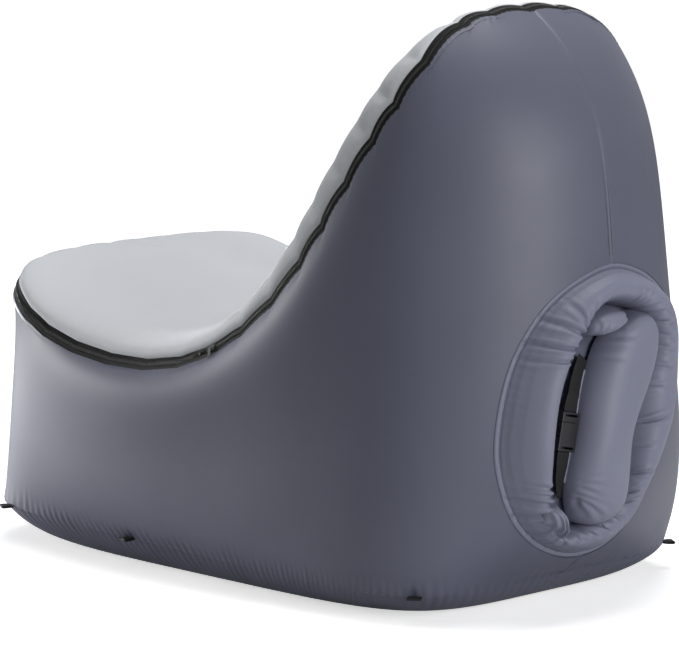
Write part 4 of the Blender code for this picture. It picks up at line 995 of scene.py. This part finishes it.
# Left out before and after the slider's place, over its travel
COIL_BREAK = (0.011, 0.036)
COIL_BLACK = (0.018, 0.018, 0.019, 1)
STITCH_PITCH = 0.0036
STITCH_WIRE = 0.00026
STITCH_PATH = np.array([(-0.0014, -0.0003), (-0.0008, 0.0003), (0.0008, 0.0003), (0.0014, -0.0003)])
STITCH_LOOK = 0.001
SEAM_STITCH_X = 0.0034
# Rises between which the rear seam is stitched, clear of the neck by the gap
SEAM_STITCH_RISES = (0.985, 0.02)
SEAM_STITCH_GAP = 0.012
THREAD_RELIEF = 0.0001
THREAD_DARK = (0.050, 0.054, 0.075, 1)


def faces_inwards(points, quads, middle):
    """Whether a closed mesh's quads face its middle, by the sign of its volume."""
    corner = (points - middle)[quads]
    turned = np.cross(corner[:, 1], corner[:, 2]) + np.cross(corner[:, 2], corner[:, 3])
    return np.sum(corner[:, 0] * turned) <= 0


def bars(name, centre, side, out, path, wire, material):
    """One small bent bar per place: a tube of radius wire along a path of (side, out) pairs."""
    spin = np.arange(BAR_SIDES) * 2 * np.pi / BAR_SIDES
    run = unit(np.gradient(path, axis=0))
    facing = np.stack([-run[:, 1], run[:, 0]], axis=-1)
    section = path[:, None] + facing[:, None] * wire * np.cos(spin)[None, :, None]
    third = np.cross(out, side)[:, None, None] * (wire * np.sin(spin))[None, None, :, None]
    points = centre[:, None, None] + side[:, None, None] * section[None, ..., :1]
    points = points + out[:, None, None] * section[None, ..., 1:] + third
    points = points.reshape(len(centre), -1, 3)
    last = (len(path) - 1) * BAR_SIDES
    caps = np.array([(0, 1, 2, 3), (0, 3, 4, 5), (last + 3, last + 2, last + 1, last),
                     (last + 5, last + 4, last + 3, last)])
    one = np.vstack([grid_quads(len(path), BAR_SIDES, wrap_columns=True), caps])
    quads = (one[None] + points.shape[1] * np.arange(len(points))[:, None, None]).reshape(-1, 4)
    if faces_inwards(points[0], one, points[0].mean(axis=0)):
        quads = quads[:, ::-1]
    return new_piece(name, points, quads, material, "shell")


coil_black, place = new_material("coil_polyester")
grain = place.noise(1500, 2)
grain.finish(Base_Color=grain.mix(COIL_BLACK, TAPE_GREY), Roughness=0.28 + grain * 0.1,
             Normal=grain.bump(THREAD_RELIEF, 0.3))
thread, place = new_material("polyester_thread")
twist = place.noise(2500, 2)
twist.finish(Base_Color=twist.mix(THREAD_DARK, NYLON_DARK), Roughness=0.55,
             Normal=twist.bump(THREAD_RELIEF, 0.5))

turns = np.arange(int(2 * HALF_LOOP / COIL_PITCH)) * COIL_PITCH
turns = turns[(turns < slider_run - COIL_BREAK[0]) | (turns > slider_run + COIL_BREAK[1])]
centre, across, out = zip_ring(turns)
coil = bars("zip_coil", centre, across, out, COIL_PATH, COIL_WIRE, coil_black)
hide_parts("zip_chain")

flange_row = np.argmin(np.abs(from_oval - FLANGE), axis=0)
oval_columns = np.arange(ring.shape[1])
stitch_lines = [(ring[1], ring_out[1]),
                (ring[flange_row, oval_columns], ring_out[flange_row, oval_columns])]
seam_rise = np.concatenate([np.linspace(SEAM_STITCH_RISES[0], neck_rises[0] + SEAM_STITCH_GAP, 400),
                            np.linspace(neck_rises[-1] - SEAM_STITCH_GAP, SEAM_STITCH_RISES[1], 60)])
for sign in (-1, 1):
    seam_points = side_form(np.zeros_like(seam_rise), seam_rise) + (sign * SEAM_STITCH_X, 0, 0)
    slope = np.gradient(seam_points, axis=0)
    stitch_lines.append((seam_points, unit(np.cross((1.0, 0, 0), -slope))))
centres, sides, outs = [], [], []
for line, facing in stitch_lines:
    facing = facing * np.where(facing[:, 1:2] < 0, -1, 1)
    gaps = np.linalg.norm(np.diff(line, axis=0), axis=1)
    gaps = np.where(gaps > 4 * np.median(gaps), 0, gaps)
    run = np.concatenate([[0], np.cumsum(gaps)])
    places = np.arange(STITCH_PITCH / 2, run[-1], STITCH_PITCH)
    steady = run + np.arange(len(run)) * 1e-9
    ahead = np.stack([np.interp(places + STITCH_LOOK, steady, line[:, i]) for i in range(3)], axis=-1)
    behind = np.stack([np.interp(places - STITCH_LOOK, steady, line[:, i]) for i in range(3)], axis=-1)
    normal = unit(np.stack([np.interp(places, steady, facing[:, i]) for i in range(3)], axis=-1))
    keep = np.linalg.norm(ahead - behind, axis=1) < 2 * STITCH_PITCH
    centres.append(((ahead + behind) / 2)[keep])
    sides.append(unit(ahead - behind)[keep])
    outs.append(normal[keep])
stitches = bars("seam_stitches", np.vstack(centres), np.vstack(sides), np.vstack(outs), STITCH_PATH,
                STITCH_WIRE, thread)

# Slider, pull and end stop
# Die-cast zinc, painted satin black, with the paint rubbed thin. They keep the shape and place of the model.
METAL_DARK = (0.030, 0.030, 0.032, 1)
METAL_WORN = (0.070, 0.070, 0.072, 1)
METAL_RELIEF = 0.0001


def paint(names, material):
    """Give the model's own nodes of these names the material."""
    for name in names:
        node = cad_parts[name]
        node.data.materials.clear()
        node.data.materials.append(material)


metal, place = new_material("painted_zinc")
wear = place.noise(420, 3)
worn = wear.between(0.58, 0.75)
worn.finish(Base_Color=worn.mix(METAL_DARK, METAL_WORN), Metallic=worn * 0.5, Roughness=0.38 + wear * 0.15,
            Normal=place.noise(1800, 2).bump(METAL_RELIEF, 0.3))
paint(("zip_slider", "zip_pull", "zip_stop"), metal)

# Buckle
# Side-release buckle of moulded black acetal: the female half hangs on the lower strap, and the male half
# with its two prongs on the upper one. All four keep the shape and place of the model.
ACETAL = (0.008, 0.008, 0.009, 1)
ACETAL_PALE = (0.016, 0.016, 0.017, 1)
ACETAL_RELIEF = 0.0001

acetal, place = new_material("moulded_acetal")
spark = place.noise(2200, 2)
spark.finish(Base_Color=spark.mix(ACETAL, ACETAL_PALE), Roughness=0.30 + place.noise(60, 2) * 0.1,
             Specular_IOR_Level=0.55, Normal=spark.bump(ACETAL_RELIEF, 0.35))
paint(("buckle_female", "buckle_male", "prong_left", "prong_right"), acetal)

# Webbing straps
# Black polyester webbing, ribbed by its weave. The upper strap runs from the buckle to the mouth's top edge
# and the lower one to the knot, where it is gathered to a point.
WEBBING_HALF = 0.0125
WEBBING_THICK = 0.0008
WEBBING_WEAVE = 0.0018
WEBBING_RELIEF = 0.0003
WEBBING_BLACK = (0.0045, 0.0045, 0.005, 1)
WEBBING_WORN = (0.016, 0.016, 0.017, 1)
BUCKLE_AT = np.array((0.0985, 0.540229, 0.292))
BUCKLE_UP = np.array((-0.207912, 0, 0.978148))
STRAP_ROWS = 90
STRAP_SIDES = 28
RECESS = 0.018
# Leaning ellipse of the mouth: middle in x and z, half width, half height and lean
MOUTH_OVAL = (0.026, 0.285, 0.100, 0.135, 0.26)
STRAP_ASIDE_SHARE = 0.745
STRAP_LIFT = 0.0013
END_STEP = 0.010
END_NARROWER = 0.98
# Where the webbing kinks as it leaves the buckle, and over what, as shares of its length
KINK_SHARE = 0.33
KINK_HALF_SHARE = 0.10
# Each strap: name, distance of its start from the buckle's mouth, end height, width left at its end, kink
STRAPS = (("upper", 0.0155, 0.380, 1.0, 0.0016), ("lower", -0.0425, 0.180, 0.35, 0.0006))


def recess_middle(z):
    """Line where the webbing lies beside the pad at a height: a share of the mouth's half width out from its
    leaning middle."""
    middle_x, middle_z, half_wide, half_high, lean = MOUTH_OVAL
    half = half_wide * np.sqrt(np.maximum(1 - ((z - middle_z) / half_high) ** 2, 0))
    x = middle_x - lean * (z - middle_z) + STRAP_ASIDE_SHARE * half
    return np.stack([x, rear_depth(z) - RECESS + STRAP_LIFT, z], axis=-1)


def ribbon(name, line, facing, half, thick, material, power=6.0):
    """Closed band along a line: its section is a superellipse, and its ends close on their middle lines."""
    run = unit(np.gradient(line, axis=0))
    out = unit(facing - run * np.sum(facing * run, axis=-1, keepdims=True))
    across = np.cross(run, out)
    spin = np.arange(STRAP_SIDES) * 2 * np.pi / STRAP_SIDES
    wide = np.sign(np.cos(spin)) * np.abs(np.cos(spin)) ** (2 / power)
    high = np.sign(np.sin(spin)) * np.abs(np.sin(spin)) ** (2 / power)
    half = np.broadcast_to(half, len(line))[:, None, None]
    body = line[:, None] + across[:, None] * half * wide[None, :, None]
    body = body + out[:, None] * thick * high[None, :, None]
    ends = [line[i] + across[i] * half[i] * wide[:, None] * END_NARROWER for i in (0, -1)]
    points = np.concatenate([ends[:1], body, ends[1:]])
    length = np.concatenate([[0], np.cumsum(np.linalg.norm(np.diff(line, axis=0), axis=1))])
    length = np.concatenate([[0], length, length[-1:]])
    uv = np.stack(np.broadcast_arrays(length[:, None], wide[None] * np.max(half)), axis=-1)
    quads = grid_quads(*points.shape[:2], wrap_columns=True)
    if faces_inwards(points.reshape(-1, 3), quads, line.mean(axis=0)):
        quads = quads[:, ::-1]
    return new_piece(name, points, quads, material, "shell", uv)


webbing, place = new_material("ribbed_webbing", "UV")
ribs = weave(place, WEBBING_WEAVE)
fuzz = place.noise(1500, 3)
ribs.finish(Base_Color=(ribs * 0.6 + fuzz * 0.4).mix(WEBBING_BLACK, WEBBING_WORN), Roughness=0.62,
            Specular_IOR_Level=0.3, Normal=(ribs + fuzz * 0.4).bump(WEBBING_RELIEF, 0.6))

t = np.linspace(0, 1, STRAP_ROWS)[:, None]
for name, leave_at, end_z, end_width, kink in STRAPS:
    start = BUCKLE_AT + BUCKLE_UP * leave_at
    away = BUCKLE_UP * np.sign(leave_at)
    end, before = recess_middle(np.array((end_z, end_z - away[2] * END_STEP)))
    reach = abs(end_z - start[2])
    line = ((2 * t ** 3 - 3 * t ** 2 + 1) * start + (t ** 3 - 2 * t ** 2 + t) * away * reach
            + (3 * t ** 2 - 2 * t ** 3) * end + (t ** 3 - t ** 2) * unit(end - before) * reach)
    line[:, 1] += kink * np.exp(-((t[:, 0] - KINK_SHARE) / KINK_HALF_SHARE) ** 2)
    half = WEBBING_HALF * (1 - (1 - end_width) * t[:, 0] ** 2)
    strap = ribbon("webbing_" + name, line, np.array((0, 1.0, 0)) + 0 * line, half, WEBBING_THICK, webbing)
    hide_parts("strap_" + name)
    if name == "upper":
        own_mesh(strap)

# Mouth binding
# The cut edge of the rolled sleeve is bound with a narrow strip of the nylon. It shows as a thin pale piping
# beside the pad, and its paler colour is a painted sheen.
PIPING_HALF = 0.0018
PIPING_THICK = 0.0015
PIPING_ASIDE = 0.0016
PIPING_LIFT = 0.0030
PIPING_HEIGHTS = (0.200, 0.366)
PIPING_RELIEF = 0.0002
# Paler than the nylon: painted sheen of the binding
PAINTED_SHEEN_PALE = (0.230, 0.245, 0.300, 1)

piping_cloth_painted_sheen, place = new_material("nylon_piping_painted_sheen")
fine = place.noise(900, 2)
fine.finish(Base_Color=fine.mix(NYLON_LIGHT, PAINTED_SHEEN_PALE), Roughness=0.34,
            Normal=fine.bump(PIPING_RELIEF, 0.4))
line = left[(left[:, 1] > PIPING_HEIGHTS[0]) & (left[:, 1] < PIPING_HEIGHTS[1])]
line = np.stack([line[:, 0] + PIPING_ASIDE, rear_depth(line[:, 1]) - RECESS + PIPING_LIFT, line[:, 1]],
                axis=-1)
piping = ribbon("mouth_piping", line, np.array((0, 1.0, 0)) + 0 * line, PIPING_HALF, PIPING_THICK,
                piping_cloth_painted_sheen, 2.4)
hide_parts("mouth_binding")

# Peg loops
# Six short loops of the same webbing take the ground pegs. Each is folded double, sewn into the base seam and
# stands a little open.
PEG_HALF = 0.0100
PEG_REACH = 0.0200
PEG_ROOT = 0.0008
PEG_SHORTER = 0.0014
PEG_OPEN = 0.0019
PEG_APART = 0.0006
PEG_THICK = 0.0005
seam_shares = np.linspace(0, 1, 2001)
seam_points, seam_outward = base_seam(seam_shares)
fold = np.linspace(-1, 1, 41)
fold_out = PEG_ROOT + (PEG_REACH - PEG_SHORTER) * (1 - np.abs(fold) ** 2.5)
fold_up = PEG_OPEN * np.sign(fold) * np.abs(fold) ** 0.6 * (1 - np.abs(fold) ** 3) * 1.4 + PEG_APART * fold
peg_middles = seam_points + np.column_stack([seam_outward, 0 * seam_shares]) * PEG_REACH / 2
for name in [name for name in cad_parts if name.startswith("peg_loop")]:
    low, high = np.array(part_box(name))
    middle = (low + high) / 2
    flip = np.array((np.sign(middle[0]), 1, 1))
    aim = np.argmin(np.linalg.norm(peg_middles - middle * flip, axis=1))
    reach = np.array((*seam_outward[aim], 0)) * flip
    run = np.array((-reach[1], reach[0], 0))
    line = seam_points[aim] * flip + reach * fold_out[:, None] + np.array((0, 0, 1)) * fold_up[:, None]
    path = np.gradient(line, axis=0)
    loop_piece = ribbon("folded_" + name, line, np.cross(path, run), PEG_HALF, PEG_THICK, webbing)
    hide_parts(name)

# Air bag
# A welded bag of thin pale film inside the covers holds the air. Here it hangs free of them by a little over
# a centimetre, and by about three behind the neck.
BAG_COLUMNS = 170
BAG_GAP = 0.0125
BAG_NECK_GAP = 0.031
BAG_LIFT = 0.0030
# Where the bag keeps away from the neck: half width, half height and middle height, and the least y
BAG_NECK_HALF = (0.22, 0.24)
BAG_NECK_HEIGHT = 0.29
BAG_NECK_FROM = 0.3
FILM_RELIEF = 0.001
BAG_BASE = (0.0, 0.5, 1.0, 1.4, 1.8)
FILM_PALE = (0.75, 0.76, 0.74, 1)
FILM_SHADE = (0.66, 0.67, 0.66, 1)

film, place = new_material("air_bag_film")
cloud = place.noise(14, 3)
cloud.finish(Base_Color=cloud.mix(FILM_SHADE, FILM_PALE), Roughness=0.26,
             Normal=place.noise(45, 3).bump(FILM_RELIEF, 0.3))
bag_loop = np.linspace(0, 2 * HALF_LOOP, BAG_COLUMNS, endpoint=False)
bag_near = np.where(bag_loop > HALF_LOOP, 2 * HALF_LOOP - bag_loop, bag_loop)
bag_flip = np.stack([np.where(bag_loop > HALF_LOOP, -1.0, 1.0), 1 + 0 * bag_loop, 1 + 0 * bag_loop], axis=-1)
bag_share = np.interp(bag_near, zip_run, share_samples)
rows = [base_form(bag_share, np.full(BAG_COLUMNS, spread)) for spread in BAG_BASE]
rows += [side_form(bag_share, np.full(BAG_COLUMNS, rise)) for rise in np.linspace(0.07, 0.94, 14)]
rows += [seat_form(bag_share, np.full(BAG_COLUMNS, spread)) for spread in np.linspace(0.92, 0, 12)]
bag = np.array(rows) * bag_flip
out = unit(np.cross(np.roll(bag, -1, axis=1) - np.roll(bag, 1, axis=1), np.gradient(bag, axis=0)))
if np.sum(out[8:14, :, 0] * bag[8:14, :, 0]) < 0:
    out = -out
out[:2] = (0, 0, -1)
out[-1] = out[-2] * (0, 1, 1)
out = unit(out)
neck_x = bag[..., 0] / BAG_NECK_HALF[0]
neck_z = (bag[..., 2] - BAG_NECK_HEIGHT) / BAG_NECK_HALF[1]
in_neck = np.clip(3 * (1 - neck_x ** 2 - neck_z ** 2), 0, 1) * (bag[..., 1] > BAG_NECK_FROM)
bag = bag - out * (BAG_GAP + (BAG_NECK_GAP - BAG_GAP) * in_neck)[..., None]
bag[:3, :, 2] = BAG_LIFT
bag = new_piece("air_bag", bag, grid_quads(*bag.shape[:2], wrap_columns=True), film, "shell")
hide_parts("inner_liner")

# Floor, lamps and camera
# A plain white sheet lies under and behind the chair. One broad lamp hangs overhead and one stands behind. A
# low narrow one in front grazes the left side. The white room shows at half strength in reflections.
CAMERA = (4.194, 4.169, 1.2605)
LENS = 203.6
SENSOR = 36
TARGET = (0, -0.025, 0.353)
FLOOR_HALF = 30
FLOOR_WHITE = (0.93, 0.93, 0.93, 1)
FLOOR_GLOW = (0.60, 1.0)
GLOW_REACH = (1.0, 2.4)
WORLD_LIGHT = 0.02
WORLD_SHEEN = 0.50
# Name, place, aim, size, power and spread in degrees of each lamp
LAMPS = (
    ("front", (0.90, -3.2, 0.45), (0.38, -0.42, 0.19), (0.6, 0.3), 1.7, 18),
    ("rear", (0.20, 4.8, 1.5), (0, 0.50, 0.35), (2.8, 2.2), 86, 150),
    ("overhead", (-0.4, -0.1, 4.4), (0, -0.1, 0.40), (2.6, 2.6), 132, 170),
)


def aimed(place, aim):
    """Turn of a lamp or camera that stands at a place and looks at its aim."""
    return (mathutils.Vector(aim) - mathutils.Vector(place)).to_track_quat("-Z", "Y").to_euler()


floor_mesh = bpy.data.meshes.new("white_floor")
corners = [(FLOOR_HALF * x, FLOOR_HALF * y, 0) for x, y in ((-1, -1), (1, -1), (1, 1), (-1, 1))]
floor_mesh.from_pydata(corners, [], [(0, 1, 2, 3)])
floor = bpy.data.objects.new("white_floor", floor_mesh)
bpy.context.scene.collection.objects.link(floor)
white, place = new_material("white_floor")
diffuse = place.add("ShaderNodeBsdfDiffuse", {}, {"Color": FLOOR_WHITE})
path = place.add("ShaderNodeLightPath", {}, {})
seen = Wire(place.tree, path.socket.node.outputs["Is Camera Ray"])
glow = place.add("ShaderNodeEmission", {}, {"Color": (1, 1, 1, 1), "Strength": 1.0})
both = place.add("ShaderNodeAddShader", {}, {0: diffuse, 1: glow})
distance = place.add("ShaderNodeVectorMath", {"operation": "LENGTH"}, {0: place}, 1)
place.add("ShaderNodeOutputMaterial", {}, {"Surface": place.add("ShaderNodeMixShader", {}, {
    0: seen * distance.between(*GLOW_REACH, *FLOOR_GLOW), 1: diffuse, 2: both})})
floor_mesh.materials.append(white)

world = bpy.data.worlds.new("white_room")
bpy.context.scene.world = world
world.use_nodes = True
world.node_tree.nodes.clear()
path = world.node_tree.nodes.new("ShaderNodeLightPath")
seen = Wire(world.node_tree, path.outputs["Is Camera Ray"])
glossy = Wire(world.node_tree, path.outputs["Is Glossy Ray"])
through = Wire(world.node_tree, path.outputs["Is Transmission Ray"])
direct = seen.maths("MINIMUM", seen + through, 1.0)
strength = direct + (1 - direct) * (glossy * (WORLD_SHEEN - WORLD_LIGHT) + WORLD_LIGHT)
background = direct.add("ShaderNodeBackground", {}, {"Color": (1, 1, 1, 1), "Strength": strength})
direct.add("ShaderNodeOutputWorld", {}, {"Surface": background})

for name, place, aim, size, power, spread in LAMPS:
    data = bpy.data.lights.new(name, "AREA")
    data.shape = "RECTANGLE"
    data.size, data.size_y = size
    data.energy = power
    data.spread = np.radians(spread)
    item = bpy.data.objects.new(name, data)
    item.location = place
    item.rotation_euler = aimed(place, aim)
    bpy.context.scene.collection.objects.link(item)

camera_data = bpy.data.cameras.new("view")
camera_data.lens = LENS
camera_data.sensor_width = SENSOR
camera_data.sensor_fit = "HORIZONTAL"
camera = bpy.data.objects.new("view", camera_data)
camera.location = CAMERA
camera.rotation_euler = aimed(CAMERA, TARGET)
bpy.context.scene.collection.objects.link(camera)
bpy.context.scene.camera = camera
bpy.context.scene.view_settings.view_transform = "Standard"
